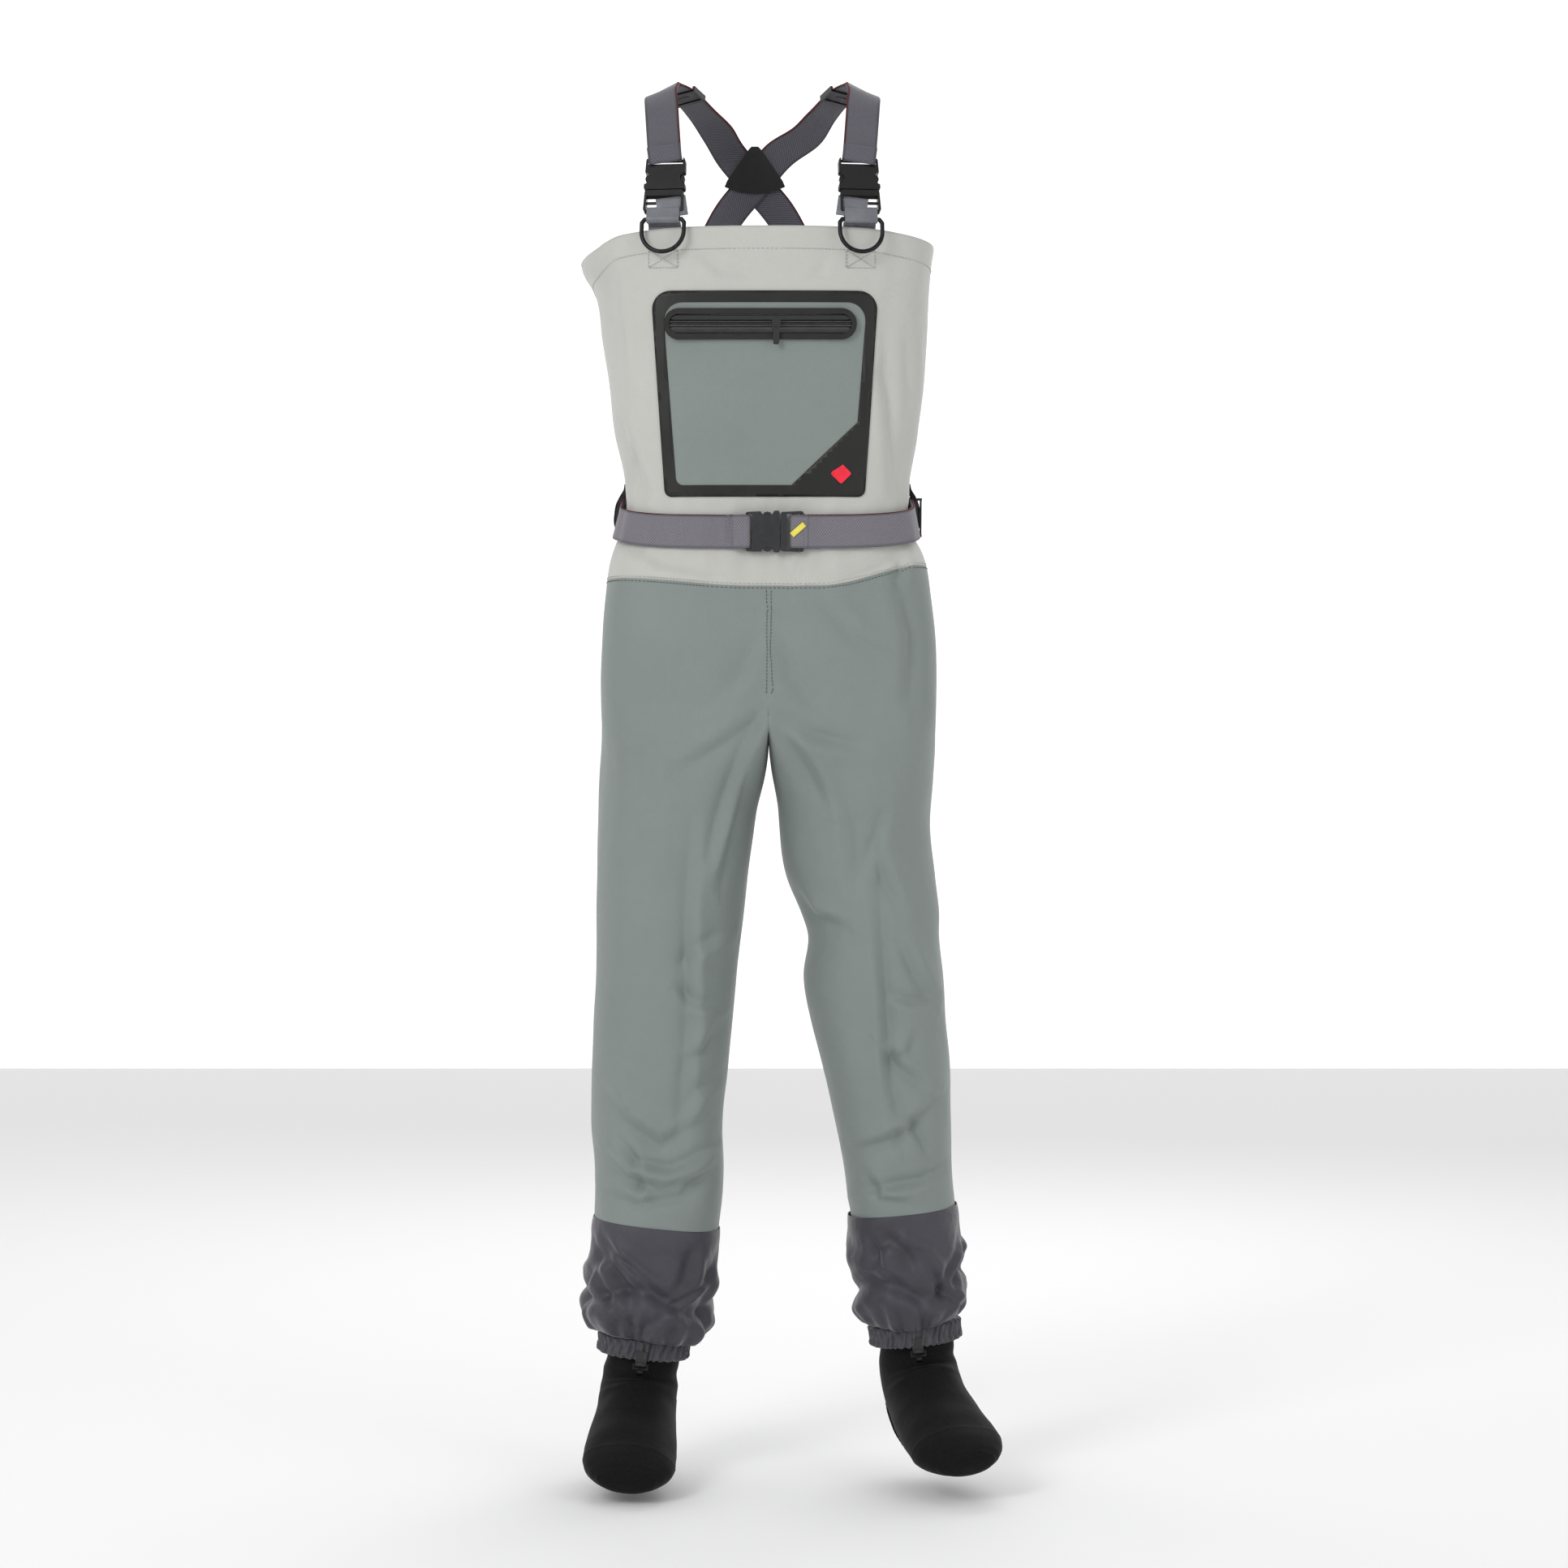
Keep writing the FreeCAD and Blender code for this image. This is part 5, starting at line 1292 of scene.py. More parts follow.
@dataclass
class Braces:
    """Both braces over the shoulders, the crossing at the back, the anchors in front and the hardware."""

    finishes: Finishes
    bar_x: dict[Side, float] = field(default_factory=lambda: {Side.LEFT: -0.116, Side.RIGHT: 0.106})
    bar_at: tuple[float, float] = (-0.1322, -0.1785)
    lean: float = 18.0
    yaw: float = 8.0

    def frame(self, side: Side) -> Matrix:
        """The frame of one brace buckle: its socket's mouth is the origin and its bar is up."""
        turn = Matrix.Rotation(
            math.radians(side.sign * self.yaw), 4, "Y"
        ) @ Matrix.Rotation(math.radians(-self.lean), 4, "X")
        place = Matrix.Translation((self.bar_x[side], self.bar_at[0], self.bar_at[1]))
        return place @ turn

    def stations(self, side: Side) -> tuple[list, list]:
        """Stations of the front run over the shoulder, and of the back run down to the bib."""
        m, x, middle = -side.sign, self.bar_x[side] * 1000, -15
        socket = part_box(f"{side.value}_brace_socket")
        start = (
            (socket[0][0] + socket[1][0]) / 2 * 1000, (socket[0][1] + socket[1][1]) / 2 * 1000,
            socket[1][2] * 1000 - 3
        )
        last = ((x - 2 * m, -16, -12), (0.86, -0.1 * m, 0.42 * m), (-0.4 * m, -0.1, 0.9))
        front = [(start, (1, -0.14 * m, 0), (0, -0.95, 0.3)),
                 ((x - 2 * m, -86, -66), (1, -0.10 * m, 0), (0, -0.92, 0.4)),
                 ((x - 4 * m, -68, -40), (1, -0.08 * m, 0.04 * m), (0, -0.8, 0.6)),
                 ((x - 5 * m, -42, -21), (0.93, -0.05 * m, 0.30 * m), (-0.2 * m, -0.45, 0.9)), last]
        over = 1.2 * m
        back = [last, ((x + 12 * m, 10, -9), (0.86, -0.5 * m, 0.13 * m), (-0.35 * m, -0.35, 0.9)),
                ((x + 42 * m, 56, -29), (0.86, -0.5 * m, 0.13 * m), (0.05 * m, 0.35, 0.93)),
                ((x + 58 * m, 80, -46), (0.83, -0.3 * m, 0.42 * m), (0, 0.8, 0.6)),
                ((middle - 28 * m, 109.2 + over, -66), (0.76, -0.141 * m, 0.634 * m), (0, 0.976, 0.217)),
                ((middle, 116.3 + over, -98), (0.76, -0.141 * m, 0.634 * m), (0, 0.976, 0.217)),
                ((middle + 28 * m, 123.4 + over, -130), (0.76, -0.141 * m, 0.634 * m), (0, 0.976, 0.217)),
                ((middle + 62 * m, 130.2, -190), (0.80, -0.05 * m, 0.6 * m), (0.05 * m, 1, 0)),
                ((middle + 92 * m, 130.2, -234), (0.82, -0.15 * m, 0.58 * m), (0.15 * m, 1, 0)),
                ((middle + 110 * m, 127, -262), (0.82, -0.2 * m, 0.57 * m), (0.22 * m, 1, 0))]
        return scale_stations(front), scale_stations(back)

    def build(self) -> None:
        """Make every strap and dress the hardware."""
        fin = self.finishes
        for side in Side:
            s = side.value
            front, back = self.stations(side)
            run = Strap(f"{s}_brace_front_webbing", front, fin.webbing, "", lift=0.0011, wave=0.0004)
            under = Strap(f"{s}_brace_front_fold", front, fin.webbing, "", lift=-0.0011, wave=0.0004)
            edge = Strap(f"{s}_brace_front_core", front, fin.webbing, "", lift=0.0011, wave=0.0004)
            made = [run.build(), under.build(), edge.edging(f"{s}_brace_inner_edge", fin.lining, -side.sign)]
            for obj in made:
                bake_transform(obj)
            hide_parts(f"{s}_brace_front")
            strap = Strap(f"{s}_brace_back_webbing", back, fin.webbing, "bib", wave=0.0003)
            strap.build()
            strap.edging(f"{s}_brace_back_edge", fin.lining, -side.sign)
            self.folds(side)
            for key in ("outer", "inner"):
                self.paint(f"{s}_brace_latch_{key}", fin.acetal)
            for key in ("socket", "plug"):
                self.paint(f"{s}_brace_{key}", fin.acetal)
            self.paint(f"{s}_brace_adjuster", fin.acetal)
            self.paint(f"{s}_d_ring", fin.wire)
        self.paint("anchor_webbing", fin.band)
        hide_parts("back_webbing")
        self.paint("back_plate_outer", fin.plate)
        self.paint("back_plate_inner", fin.plate)
        self.paint("back_plate_rivets", fin.plate)

    def folds(self, side: Side) -> None:
        """Webbing folded round the socket's bar, and the webbing behind the plug's two bars."""
        turn = self.frame(side)
        socket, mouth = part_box(f"{side.value}_brace_socket"), 0.0366
        top = Vector(((socket[0][0] + socket[1][0]) / 2, (socket[0][1] + socket[1][1]) / 2, socket[1][2]))
        origin = top - turn.to_3x3() @ Vector((0, 0, mouth + 0.0019))
        place = turn.copy()
        place.translation = origin
        rows = []
        for y, z, oy, oz in [(-0.0029, 0.052, -1, 0), (-0.0030, mouth + 0.003, -1, 0)] + [
                (-0.0029 * math.cos(a), mouth - 0.0029 * math.sin(a), -math.cos(a), -math.sin(a))
                for a in np.radians(np.arange(0, 181, 22.5))] + [(0.0030, mouth + 0.003, 1, 0), (0.0028, 0.052, 1, 0)]:
            rows.append((tuple(place @ Vector((0, y, z))), tuple(place.to_3x3() @ Vector((1, 0, 0))),
                         tuple(place.to_3x3() @ Vector((0, oy, oz)))))
        Strap(
            f"{side.value}_brace_socket_fold", rows, self.finishes.webbing,
            f"{side.value}_socket_body", step=0.0012
        ).build()
        rows = [(tuple(place @ Vector((0, 0.0030, z))), tuple(place.to_3x3() @ Vector((1, 0, 0))), tuple(place.to_3x3() @ Vector((0, 1, 0))))
                for z in (-0.010, -0.018, -0.027, -0.034)]
        Strap(
            f"{side.value}_plug_backing", rows, self.finishes.band, "bib", width=0.034, thick=0.0012
        ).build()

    @staticmethod
    def paint(node: str, material: bpy.types.Material) -> None:
        """Give a CAD node its finish through its material slots."""
        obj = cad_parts[node]
        for slot in obj.material_slots:
            slot.material = material
        LOG.info("%s: finish %s", node, material.name)


# --- Belt ------------------------------------------------------------------------------------------


@dataclass
class Belt:
    """The stretch belt: two straps round the waist, its buckle, tri-glide and loops."""

    finishes: Finishes
    garment: Garment
    tree: BVHTree
    middle: float = -0.502
    slope: float = 13.3
    width: float = 0.038
    gap: float = 0.0022
    buckle_at: Point = (0.015, -0.118, -0.528)

    def height(self, y: float) -> float:
        """Height of the belt's middle where it passes at depth y."""
        return self.middle + y * math.tan(math.radians(self.slope))

    def station(self, degrees: float, lift: float = 0.0) -> tuple[Point, Point, Point]:
        """Where the belt lies on the cloth.

        Args:
            degrees: Direction from the trunk's middle, from +X towards +Y.
            lift: Extra distance outwards.

        Returns:
            The middle, the across direction and the outward one.
        """
        turn = math.radians(degrees)
        flat = Vector(self.garment.trunk_at(np.array([turn]), np.array([self.middle]))[0])
        z = self.height(flat.y)
        way = Vector((math.cos(turn) / 0.163, math.sin(turn) / 0.110, 0)).normalized()
        hits = []
        for k in (-0.46, -0.2, 0.0, 0.2, 0.46):
            start = Vector((flat.x, flat.y, z + k * self.width)) + way * 0.08
            hit, _, _, _ = self.tree.ray_cast(start, -way)
            hits.append(hit if hit is not None else flat)
        across = (hits[-1] - hits[0]).normalized()
        centre = (hits[0] + hits[-1]) / 2
        proud = max(0.0, max((h - centre).dot(way) for h in hits))
        at = centre + way * (proud + self.gap + lift)
        return tuple(at), tuple(across), tuple(way)

    def turned(self, bar: float, way: int, reach: float) -> list[tuple[Point, Point, Point]]:
        """Stations of webbing folded round a bar of the buckle.

        Args:
            bar: The bar's X.
            way: Towards which end of the belt the webbing leaves, 1 or -1.
            reach: X where the back layer ends.

        Returns:
            The stations, from the front layer round the bar to the back layer.
        """
        _, y, z = self.buckle_at
        around = []
        for k in range(9):
            a = math.radians(90 - 180 * k / 8)
            out = (-way * math.cos(a), -math.sin(a), 0)
            around.append(((bar + out[0] * 0.0030, y + out[1] * 0.0030, z), (0, 0, 1), out))
        front = [((bar + way * 0.016, y - 0.0026, z), (0, 0, 1), (0, -1, 0)),
                 ((bar + way * 0.008, y - 0.0031, z), (0, 0, 1), (0, -1, 0))]
        back = [
            ((bar + way * 0.007, y + 0.0032, z), (0, 0, 1), (0, 1, 0)),
            ((reach, y + 0.0036, z), (0, 0, 1), (0, 1, 0))
        ]
        return front + around + back

    def build(self) -> None:
        """Make the belt."""
        fin, (bx, by, bz) = self.finishes, self.buckle_at
        socket_bar, plug_bar, last_bar = bx - 0.0366, bx + 0.0155, bx + 0.025
        long_half = [self.station(a) for a in np.arange(12, 255, 5.0)]
        run = long_half + [((socket_bar - 0.004, by - 0.0031, bz), (0, 0, 1), (0, -1, 0))]
        strap = Strap("belt_long_webbing", run, fin.belt, "bib", wave=0.0003)
        made = strap.build()
        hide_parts("belt_long_half")
        strap.edging("belt_long_edge", fin.lining, 1, 0.0014)
        drawn = [((last_bar + 0.002, by - 0.0031, bz), (0, 0, 1), (0, -1, 0))]
        drawn += [self.station(a, 0.0024) for a in np.arange(291, 372, 5.0)]
        outer = Strap("belt_drawn_webbing", drawn, fin.belt, "", wave=0.0003)
        pieces = [outer.build(), outer.edging("belt_drawn_edge", fin.lining, 1, 0.0016)]
        under = [self.station(a, 0.0003) for a in np.arange(293, 380, 5.0)]
        pieces.append(Strap("belt_drawn_under", under, fin.belt, "").build())
        for obj in pieces:
            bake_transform(obj)
        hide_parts("belt_drawn_half")
        Strap(
            "belt_socket_fold", self.turned(socket_bar, -1, socket_bar - 0.024), fin.belt, "bib",
            step=0.0012
        ).build()
        Strap(
            "belt_plug_fold", self.turned(plug_bar, 1, last_bar + 0.02), fin.belt, "belt_plug_body",
            step=0.0012
        ).build()
        self.stripe(
            "yellow_stripe", Vector((bx + 0.0205, by - 0.0052, bz + 0.002)), Vector((0, -1, 0)),
            "belt_plug_body", 0.019
        )
        at, _, out = self.station(357, 0.0024)
        self.stripe("yellow_tail_stripe", Vector(at) + Vector(out) * 0.0012, Vector(out), "bib", 0.015)
        for name in ("belt_socket", "belt_plug", "belt_latch_upper", "belt_latch_lower"):
            Braces.paint(name, fin.satin)
        Braces.paint("belt_adjuster", fin.acetal)
        self.loops()

    def stripe(self, name: str, at: Vector, out: Vector, body: str, length: float) -> None:
        """A slanted yellow stripe woven across the belt's face."""
        bm = bmesh.new()
        made = bmesh.ops.create_cube(bm, size=1.0)["verts"]
        side = Vector((0, 0, 1)).cross(out).normalized()
        slant = (side * 0.75 + Vector((0, 0, 0.66))).normalized()
        turn = Matrix((slant, out.cross(slant), out)).transposed().to_4x4()
        turn.translation = at
        bmesh.ops.transform(bm, matrix=turn @ Matrix.Diagonal((length, 0.0062, 0.0007, 1.0)), verts=made)
        bmesh.ops.bevel(
            bm, geom=bm.edges[:], offset=0.0002, segments=1, profile=0.5, affect="EDGES",
            material=-1
        )
        piece(bm, name, self.finishes.yellow, body)

    def loops(self) -> None:
        """Four keepers sewn above and below the belt."""
        for i, degrees in enumerate((172, 8, 110, 70)):
            at, across, out = (Vector(v) for v in self.station(degrees))
            along = across.cross(out)
            rows = []
            for up, proud in ((0.034, -0.0010), (0.028, 0.0005), (0.021, 0.0055), (0.010, 0.0075), (0, 0.0080), (-0.010, 0.0075),
                              (-0.021, 0.0055), (-0.028, 0.0005), (-0.034, -0.0010)):
                hit, _, _, _ = self.tree.ray_cast(at + across * up + out * 0.05, -out)
                base = hit if hit is not None and abs(up) > 0.02 else at + across * up
                lift = 0.0012 if abs(up) > 0.02 else 0.0
                slope = out + across * (0.9 if up > 0.02 else -0.9 if up < -0.02 else up * 12)
                rows.append((tuple(base + out * (proud + lift)), tuple(along), tuple(slope)))
            Strap(f"belt_keeper_{i}", rows, self.finishes.keeper, "bib", width=0.020, thick=0.0016, step=0.0022).build()
        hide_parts("belt_loops")


# --- Leg ends --------------------------------------------------------------------------------------


@dataclass
class LegEnd:
    """A gravel guard with its gathered hem and lace hook, and the neoprene foot under it."""

    side: Side
    finishes: Finishes
    ends: dict[Side, tuple[float, float, float, float]] = field(default_factory=lambda: {
        Side.LEFT: (-0.128, -1.322, 0.073, 0.076), Side.RIGHT: (0.157, -1.307, 0.063, 0.073)})
    tilt: float = 6.0
    yaw: dict[Side, float] = field(default_factory=lambda: {Side.LEFT: 0.0, Side.RIGHT: 12.0})
    length: float = 0.128
    band: float = 0.022
    foot_top: float = -0.156

    def frame(self) -> Matrix:
        """The frame at the leg's end, leaning outwards."""
        x, z, _, _ = self.ends[self.side]
        return Matrix.Translation((x, 0, z)) @ Matrix.Rotation(
            math.radians(-self.side.sign * self.tilt), 4, "Y"
        )

    def tube(
            self, columns: int, rows: int, shape: Callable[[np.ndarray, np.ndarray], np.ndarray]
    ) -> bmesh.types.BMesh:
        """A tube in the leg's frame, from shape(turn, along)."""
        def place(across: np.ndarray, along: np.ndarray) -> np.ndarray:
            """Carry the corners."""
            return shape(across * 2 * np.pi, 1 - along)

        bm = grid(columns, rows, place, wrap=True)
        bmesh.ops.transform(bm, matrix=self.frame(), verts=bm.verts[:])
        bm.normal_update()
        sample = bm.faces[:][len(bm.faces) // 2]
        middle = self.frame() @ Vector((0, 0, 0))
        centre = sample.calc_center_median()
        if sample.normal.dot(Vector((centre.x - middle.x, centre.y, 0))) < 0:
            bmesh.ops.reverse_faces(bm, faces=bm.faces[:])
        return bm

    def make_guard(self) -> None:
        """The loose sleeve: it hangs in swags and puffs out over its gathered hem."""
        _, _, a, b = self.ends[self.side]
        seed = 3.0 if self.side is Side.LEFT else 11.0
        rings = ((0.004, a + 0.0006, b + 0.0006), (-0.002, a + 0.0014, b + 0.0014), (-0.032, a + 0.0005, b), (-0.064, a + 0.001, b),
                 (-0.090, a - 0.001, b), (-0.106, a - 0.003, b - 0.003), (-0.118, a - 0.009, b - 0.008),
                 (-0.1255, a - 0.017, b - 0.016), (-0.1275, 0.0515, 0.0555))
        drift = 0.0 if self.side is Side.LEFT else 0.002

        def shape(turn: np.ndarray, down: np.ndarray) -> np.ndarray:
            """Rings with diagonal folds, swags and pleats."""
            z = 0.004 - down * (self.length + 0.0035)
            ra, rb = follow(rings, z, 1), follow(rings, z, 2)
            fall = -z / self.length
            loose = smooth((fall - 0.02) / 0.25)
            fold = np.zeros_like(turn)
            for k, (where, rise, wide, deep) in enumerate((
                    (4.1, 0.9, 0.16, 0.0075), (
                        4.9, -1.1, 0.14, 0.0065
                    ), (5.6, 0.7, 0.15, 0.0060), (3.4, -0.8, 0.18, 0.0060),
                    (0.4, 1.0, 0.2, 0.0065), (
                        1.3, -0.9, 0.2, 0.0060
                    ), (2.3, 0.8, 0.22, 0.0065), (4.5, 1.7, 0.10, 0.0050),
                    (5.25, -1.9, 0.10, 0.0045), (3.8, 1.4, 0.10, 0.0040))):
                shift = where + seed * 0.06 + rise * (fall - 0.5) + 0.10 * np.sin(fall * 9 + k + seed)
                gap = (turn - shift + np.pi) % (2 * np.pi) - np.pi
                reach = np.exp(-(((fall - 0.45 - 0.22 * math.sin(k * 2.1 + seed)) / 0.34) ** 2))
                s = gap / wide
                fold += deep * reach * (-np.exp(-s * s) + 0.75 * np.exp(-((s - 1.5) ** 2) / 1.6))
            swag = 0.0055 * np.exp(-(((fall - 0.74 - 0.07 * np.sin(turn * 3 + seed)) / 0.09) ** 2))
            swag -= 0.0060 * np.exp(-(((fall - 0.60 - 0.08 * np.sin(turn * 3 + seed + 0.6)) / 0.055) ** 2))
            swag += 0.0030 * np.exp(-(((fall - 0.42 - 0.06 * np.sin(turn * 2 + seed)) / 0.07) ** 2))
            pleat = np.sin(turn * 11 + 2.2 * np.sin(turn * 3 + seed)) * 0.65 + np.sin(turn * 23 + seed + 2 * np.sin(turn * 4)) * 0.35
            gather = 0.0046 * pleat * smooth((fall - 0.62) / 0.30) * (1 - 0.5 * smooth((fall - 0.95) / 0.05))
            push = loose * (fold + swag) * (1 - smooth((fall - 0.9) / 0.1) * 0.8) + gather
            bumps = np.array([noise.noise(Vector((math.cos(t) * 2.6 + seed, math.sin(t) * 2.6, h * 5.2))) for t, h in zip(turn, fall)])
            fine = np.array([noise.noise(Vector((math.cos(t) * 7 + seed, math.sin(t) * 7, h * 13))) for t, h in zip(turn, fall)])
            push = push + loose * (0.0022 * bumps + 0.0005 * fine)
            x, y = oval(turn, ra + push, rb + push, 2.2, 2.2)
            sag = 0.010 * smooth((fall - 0.4) / 0.5) * (1 - smooth((fall - 0.93) / 0.07)) * (0.6 + 0.4 * np.sin(turn * 2 + seed))
            return np.stack([x - drift * fall, y, z - sag], 1)

        obj = piece(
            self.tube(220, 84, shape), f"{self.side.value}_guard_sleeve", self.finishes.guard,
            f"{self.side.value}_shin_body"
        )
        bm = bmesh.new()
        bm.from_mesh(obj.data)
        bmesh.ops.smooth_vert(
            bm, verts=bm.verts[:], factor=0.5, use_axis_x=True, use_axis_y=True, use_axis_z=True
        )
        bm.to_mesh(obj.data)
        bm.free()
        thicken(obj, 0.0008)
        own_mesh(obj)
        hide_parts(f"{self.side.value}_gravel_guard")

    def make_hem(self) -> None:
        """The elastic hem: a ruffled band with a small tab at its front."""
        seed = 1.0 if self.side is Side.LEFT else 5.0
        outline = ((0.000, 0.0005), (0.010, 0.0030), (0.05, 0.0042), (0.25, 0.0046), (0.5, 0.0040), (0.75, 0.0046), (0.95, 0.0042),
                   (0.99, 0.0030), (1.0, 0.0005))

        def shape(turn: np.ndarray, down: np.ndarray) -> np.ndarray:
            """A band pleated all round."""
            z = -self.length + 0.001 - down * (self.band + 0.001)
            out = follow(outline, down, 1)
            ruffle = np.sin(turn * 37 + 2.0 * np.sin(turn * 5 + seed) + 1.2 * np.sin(down * 5 + turn * 2))
            ruffle = np.sign(ruffle) * np.abs(ruffle) ** 0.7
            depth = 0.0014 * ruffle * smooth(np.minimum(down, 1 - down) / 0.12) + 0.0007 * np.sin(turn * 61 + down * 4 + seed)
            wobble = 0.0016 * np.sin(turn * 37 + 2.0 * np.sin(turn * 5 + seed)) * (down > 0.5) * (down - 0.5)
            x, y = oval(turn, 0.0478 + out + depth, 0.0523 + out + depth, 2.1, 2.1)
            return np.stack([x, y, z + wobble], 1)

        s = self.side.value
        bm = self.tube(370, 26, shape)
        hem = piece(bm, f"{s}_elastic_hem", self.finishes.hem, f"{s}_hem_body")
        thicken(hem, 0.0012)
        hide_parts(f"{s}_guard_hem")
        bm = bmesh.new()
        made = bmesh.ops.create_cube(bm, size=1.0)["verts"]
        bmesh.ops.transform(bm, matrix=Matrix.Diagonal((0.013, 0.0020, 0.017, 1.0)), verts=made)
        bmesh.ops.bevel(
            bm, geom=bm.edges[:], offset=0.0005, segments=2, profile=0.5, affect="EDGES",
            material=-1
        )
        bmesh.ops.translate(bm, vec=(0, -0.0574, -self.length - self.band + 0.0025), verts=bm.verts[:])
        knuckle = bmesh.ops.create_cone(
            bm, cap_ends=True, segments=24, radius1=0.0025, radius2=0.0025, depth=0.012
        )["verts"]
        roll = Matrix.Translation((0, -0.0579, -self.length - self.band - 0.004)) @ Matrix.Rotation(
            math.radians(90), 4, "Y"
        )
        bmesh.ops.transform(bm, matrix=roll, verts=knuckle)
        bmesh.ops.transform(bm, matrix=self.frame(), verts=bm.verts[:])
        piece(bm, f"{s}_hook_tab", self.finishes.facing, f"{s}_hem_body")
        Braces.paint(f"{s}_lace_hook", self.finishes.wire)

    def make_foot(self) -> None:
        """The neoprene foot as one surface from inside the leg to the toe, with its seams raised."""
        _, _, a, b = self.ends[self.side]
        top = self.foot_top
        table = ((0.000, 0, -0.009, 0, a - 0.004, b - 0.004), (0.020, 0, -0.024, 0, a * 0.83, b * 0.85), (0.045, 0, -0.046, 0, 0.050, 0.054),
                 (0.075, 0, -0.074, 0, 0.0445, 0.049), (
                     0.110, 0, -0.110, 0, 0.0438, 0.0480
                 ), (0.156, 0, top, 0, 0.0430, 0.0470),
                 (
                     0.184, -0.003, top - 0.028, 18, 0.0440, 0.0540
                 ), (0.222, 0.020, top - 0.058, 45, 0.0460, 0.0530),
                 (
                     0.276, 0.070, top - 0.078, 62, 0.0490, 0.0400
                 ), (0.328, 0.120, top - 0.092, 66, 0.0520, 0.0320),
                 (0.375, 0.165, top - 0.104, 66, 0.0450, 0.0230), (
                     0.3890, 0.178, top - 0.1075, 66, 0.0350, 0.0170
                 ),
                 (0.3965, 0.185, top - 0.1095, 66, 0.0215, 0.0105), (0.3990, 0.1875, top - 0.110, 66, 0.0004, 0.0003))
        s_end = table[-1][0]
        yaw = math.radians(self.yaw[self.side])
        bends = ((0.135, 4.71, 0.006, 0.0022), (0.190, 4.71, 0.009, 0.0040), (0.206, 4.5, 0.007, 0.0025), (0.172, 1.6, 0.008, 0.0030),
                 (0.150, 3.3, 0.008, 0.0018), (0.165, 6.1, 0.008, 0.0018))

        def shape(turn: np.ndarray, down: np.ndarray) -> np.ndarray:
            """Rings that turn from the leg's line to the foot's."""
            s = down * s_end
            forward, z, lean, ra, rb = (follow(table, s, k) for k in range(1, 6))
            push = np.zeros_like(s)
            for at, where, wide, deep in bends:
                gap = (turn - where + np.pi) % (2 * np.pi) - np.pi
                line = (s - at - 0.006 * np.cos(gap * 2)) / wide
                push -= deep * np.exp(-((gap / 0.9) ** 2)) * (np.exp(-line * line) - 0.6 * np.exp(-((line - 1.7) ** 2)))
            for at in (0.352, 0.120):
                push += 0.0007 * np.exp(-(((s - at) / 0.0016) ** 2))
            side_gap = np.minimum(np.abs(turn), np.abs(turn - 2 * np.pi)) * (s > 0.2)
            push += 0.0006 * np.exp(-((side_gap / 0.03) ** 2)) * (s > 0.2) * (s < 0.352)
            bumps = np.array([noise.noise(Vector((math.cos(t) * 1.6, math.sin(t) * 1.6 + self.side.sign, h * 26))) for t, h in zip(turn, s)])
            push += 0.0016 * bumps * smooth((s_end - s) / 0.05)
            x, y = oval(turn, ra + push, rb + push, 2.0, 2.0)
            tip = np.radians(lean)
            y2, z2 = y * np.cos(tip), -y * np.sin(tip)
            rel = np.stack([x, y2 - forward, z2 + z], 1)
            part = yaw * smooth((s - 0.10) / 0.07)
            cx = rel[:, 0] * np.cos(part) - rel[:, 1] * np.sin(part)
            cy = rel[:, 0] * np.sin(part) + rel[:, 1] * np.cos(part)
            return np.stack([cx, cy, rel[:, 2]], 1)

        s = self.side.value
        bm = self.tube(128, 150, shape)
        face = min(bm.faces, key=lambda f: f.calc_center_median().y)
        bmesh.ops.remove_doubles(bm, verts=[v for v in face.verts], dist=1e-5)
        sole = bm.copy()
        foot = piece(bm, f"{s}_neoprene_foot", self.finishes.neoprene, f"{s}_shin_body")
        thicken(foot, 0.0038, rim=False)
        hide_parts(f"{s}_bootie_neck", f"{s}_bootie_foot")
        ankle = self.frame() @ Matrix.Translation((0, 0, top)) @ Matrix.Rotation(yaw, 4, "Z")
        plane = ankle @ Matrix.Translation((0, -0.070, -0.105)) @ Matrix.Rotation(math.radians(24), 4, "X")
        back = plane.inverted()
        sole.normal_update()
        gone = [f for f in sole.faces if (back @ f.calc_center_median()).z > 0.004]
        bmesh.ops.delete(sole, geom=gone, context="FACES")
        for vert, n in [(v, v.normal.copy()) for v in sole.verts]:
            vert.co += n * 0.0022
        under = piece(sole, f"{s}_sole_layer", self.finishes.sole, f"{s}_shin_body")
        thicken(under, 0.0024)
        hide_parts(f"{s}_bootie_sole")

    def build(self) -> None:
        """Make the guard, hem and foot."""
        self.make_guard()
        self.make_hem()
        self.make_foot()


# --- Studio ----------------------------------------------------------------------------------------


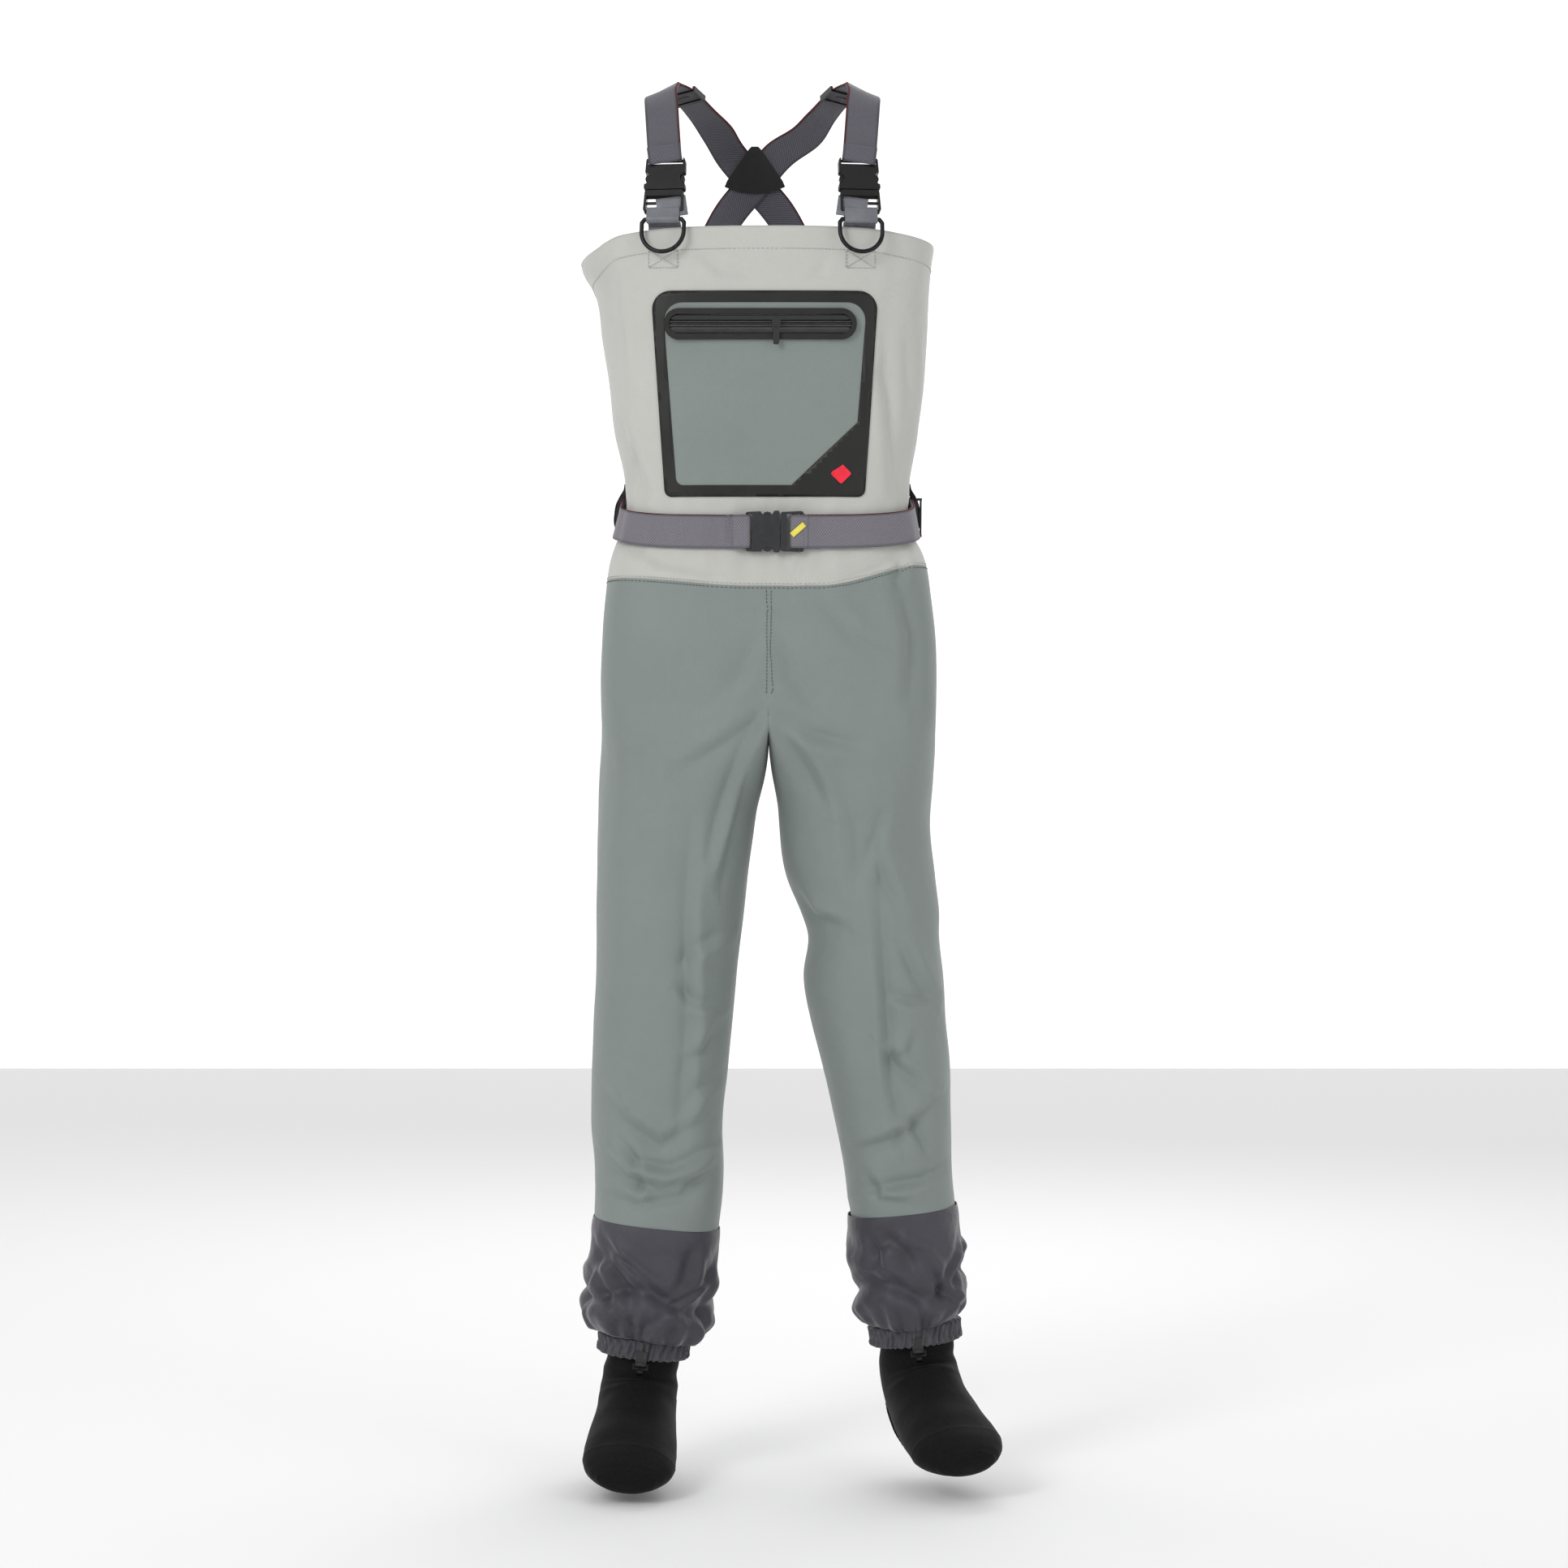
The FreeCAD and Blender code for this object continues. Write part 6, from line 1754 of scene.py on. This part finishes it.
@dataclass
class Studio:
    """Camera, lights, floor and world."""

    camera_at: Point = (0.0197, -4.2, -0.812)
    lens: float = 83.25
    floor: float = -1.612
    floor_reach: float = 6.0
    backdrop_at: float = 9.0
    backdrop_reach: float = 20.8
    paper: tuple[float, float, float, float] = (0.9, 0.9, 0.9, 1)

    def plane(self, name: str, reach: float, place: Matrix, material: bpy.types.Material) -> None:
        """Add a square of the stage.

        Args:
            name: Its name.
            reach: Half its width.
            place: Where it lies.
            material: Its finish.
        """
        bm = bmesh.new()
        bmesh.ops.create_grid(bm, x_segments=1, y_segments=1, size=reach)
        bmesh.ops.transform(bm, matrix=place, verts=bm.verts[:])
        mesh = bpy.data.meshes.new(name)
        bm.to_mesh(mesh)
        bm.free()
        mesh.materials.append(material)
        obj = bpy.data.objects.new(name, mesh)
        bpy.context.collection.objects.link(obj)

    def light(self, name: str, at: Point, aim: Point, size: tuple[float, float], power: float) -> None:
        """Add a rectangular area light.

        Args:
            name: Its name.
            at: Where it is.
            aim: What it faces.
            size: Its width and height.
            power: Its power in watts.
        """
        data = bpy.data.lights.new(name, "AREA")
        data.shape = "RECTANGLE"
        data.size, data.size_y = size
        data.energy = power
        obj = bpy.data.objects.new(name, data)
        obj.location = at
        obj.rotation_euler = (Vector(aim) - Vector(at)).to_track_quat("-Z", "Y").to_euler()
        bpy.context.collection.objects.link(obj)

    def build(self) -> None:
        """Set everything up."""
        data = bpy.data.cameras.new("front_camera")
        data.lens = self.lens
        data.sensor_width = 36.0
        camera = bpy.data.objects.new("front_camera", data)
        camera.location = self.camera_at
        camera.rotation_euler = (math.radians(90), 0, 0)
        bpy.context.collection.objects.link(camera)
        bpy.context.scene.camera = camera
        world = bpy.data.worlds.new("studio_world")
        bpy.context.scene.world = world
        world.use_nodes = True
        background = world.node_tree.nodes["Background"]
        background.inputs["Color"].default_value = (1, 1, 1, 1)
        background.inputs["Strength"].default_value = 0.62
        pale = bpy.data.materials.new("pale_floor")
        pale.use_nodes = True
        matt = pale.node_tree.nodes["Principled BSDF"]
        matt.inputs["Base Color"].default_value = self.paper
        matt.inputs["Roughness"].default_value = 0.9
        self.plane("studio_floor", self.floor_reach, Matrix.Translation((0, 0, self.floor)), pale)
        lit = bpy.data.materials.new("lit_backdrop")
        lit.use_nodes = True
        shader = lit.node_tree.nodes["Principled BSDF"]
        shader.inputs["Base Color"].default_value = self.paper
        shader.inputs["Emission Color"].default_value = (1, 1, 1, 1)
        shader.inputs["Emission Strength"].default_value = 0.55
        upright = Matrix.Translation((0, self.backdrop_at, 0)) @ Matrix.Rotation(math.radians(90), 4, "X")
        self.plane("studio_backdrop", self.backdrop_reach, upright, lit)
        self.light("key_light", (-1.9, -3.0, 0.9), (0, 0, -0.7), (1.2, 1.8), 46)
        self.light("fill_light", (2.4, -2.6, -0.2), (0, 0, -0.8), (1.4, 2.0), 12)
        self.light("rim_light", (0.4, 2.4, 0.9), (0, 0, -0.7), (2.0, 1.4), 25)
        bpy.context.scene.view_settings.view_transform = "Standard"


def sew(garment: Garment, finishes: Finishes, tree: BVHTree) -> None:
    """Sew the seams that show: hips, rise, top hem, and the squares that hold the D-rings' webbing.

    Args:
        garment: The cloth's sizes.
        finishes: The thread's finish.
        tree: The folded cloth.
    """
    turns = np.radians(np.arange(0, 363, 3.0))
    for name, off, thread in (
        ("hip_stitches_upper", 0.0022, finishes.pale_thread),
        ("hip_stitches_lower", -0.0028, finishes.thread)
    ):
        flat = garment.trunk_at(turns, np.full_like(turns, -0.585))
        flat[:, 2] = garment.hip_line(flat[:, 0]) + off
        Stitching(tree, thread).row(name, [tuple(p) for p in garment.trunk_at(turns, flat[:, 2])])
    flat = garment.trunk_at(turns, np.full_like(turns, -0.21))
    low = garment.hem(flat[:, 0], flat[:, 1]) - 0.026
    Stitching(tree, finishes.pale_thread).row(
        "hem_stitches", [tuple(p) for p in garment.trunk_at(turns, low)]
    )
    for name, off in (("rise_stitches_left", -0.0026), ("rise_stitches_right", 0.0026)):
        points = [(garment.middle + off, -0.13, z) for z in np.arange(-0.592, -0.715, -0.02)]
        Stitching(tree, finishes.thread).row(name, points)
    for side, x in ((Side.LEFT, -0.116), (Side.RIGHT, 0.106)):
        hit, normal, _, _ = tree.ray_cast(Vector((x, -0.4, -0.222)), Vector((0, 1, 0)))
        across = Vector((1, 0, 0)).cross(normal).cross(normal).normalized()
        box_stitch(f"{side.value}_anchor_stitches", hit + normal * 0.0002, across, normal.cross(across), (0.0165, 0.010),
                   finishes.pale_thread, "bib")


def main() -> None:
    """Make the waders and the studio."""
    logging.basicConfig(level=logging.INFO, format="%(message)s")
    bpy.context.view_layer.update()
    finishes = Finishes()
    garment = Garment(creases=FRONT_CREASES + BACK_CREASES)
    sheet = garment.build()
    tree = ClothPanels(garment, finishes).build(sheet)
    sheet.free()
    ChestPocket(finishes, tree).build()
    sew(garment, finishes, tree)
    Braces(finishes).build()
    Belt(finishes, garment, tree).build()
    for side in Side:
        LegEnd(side, finishes).build()
    Studio().build()


if __name__ == "__main__":
    main()
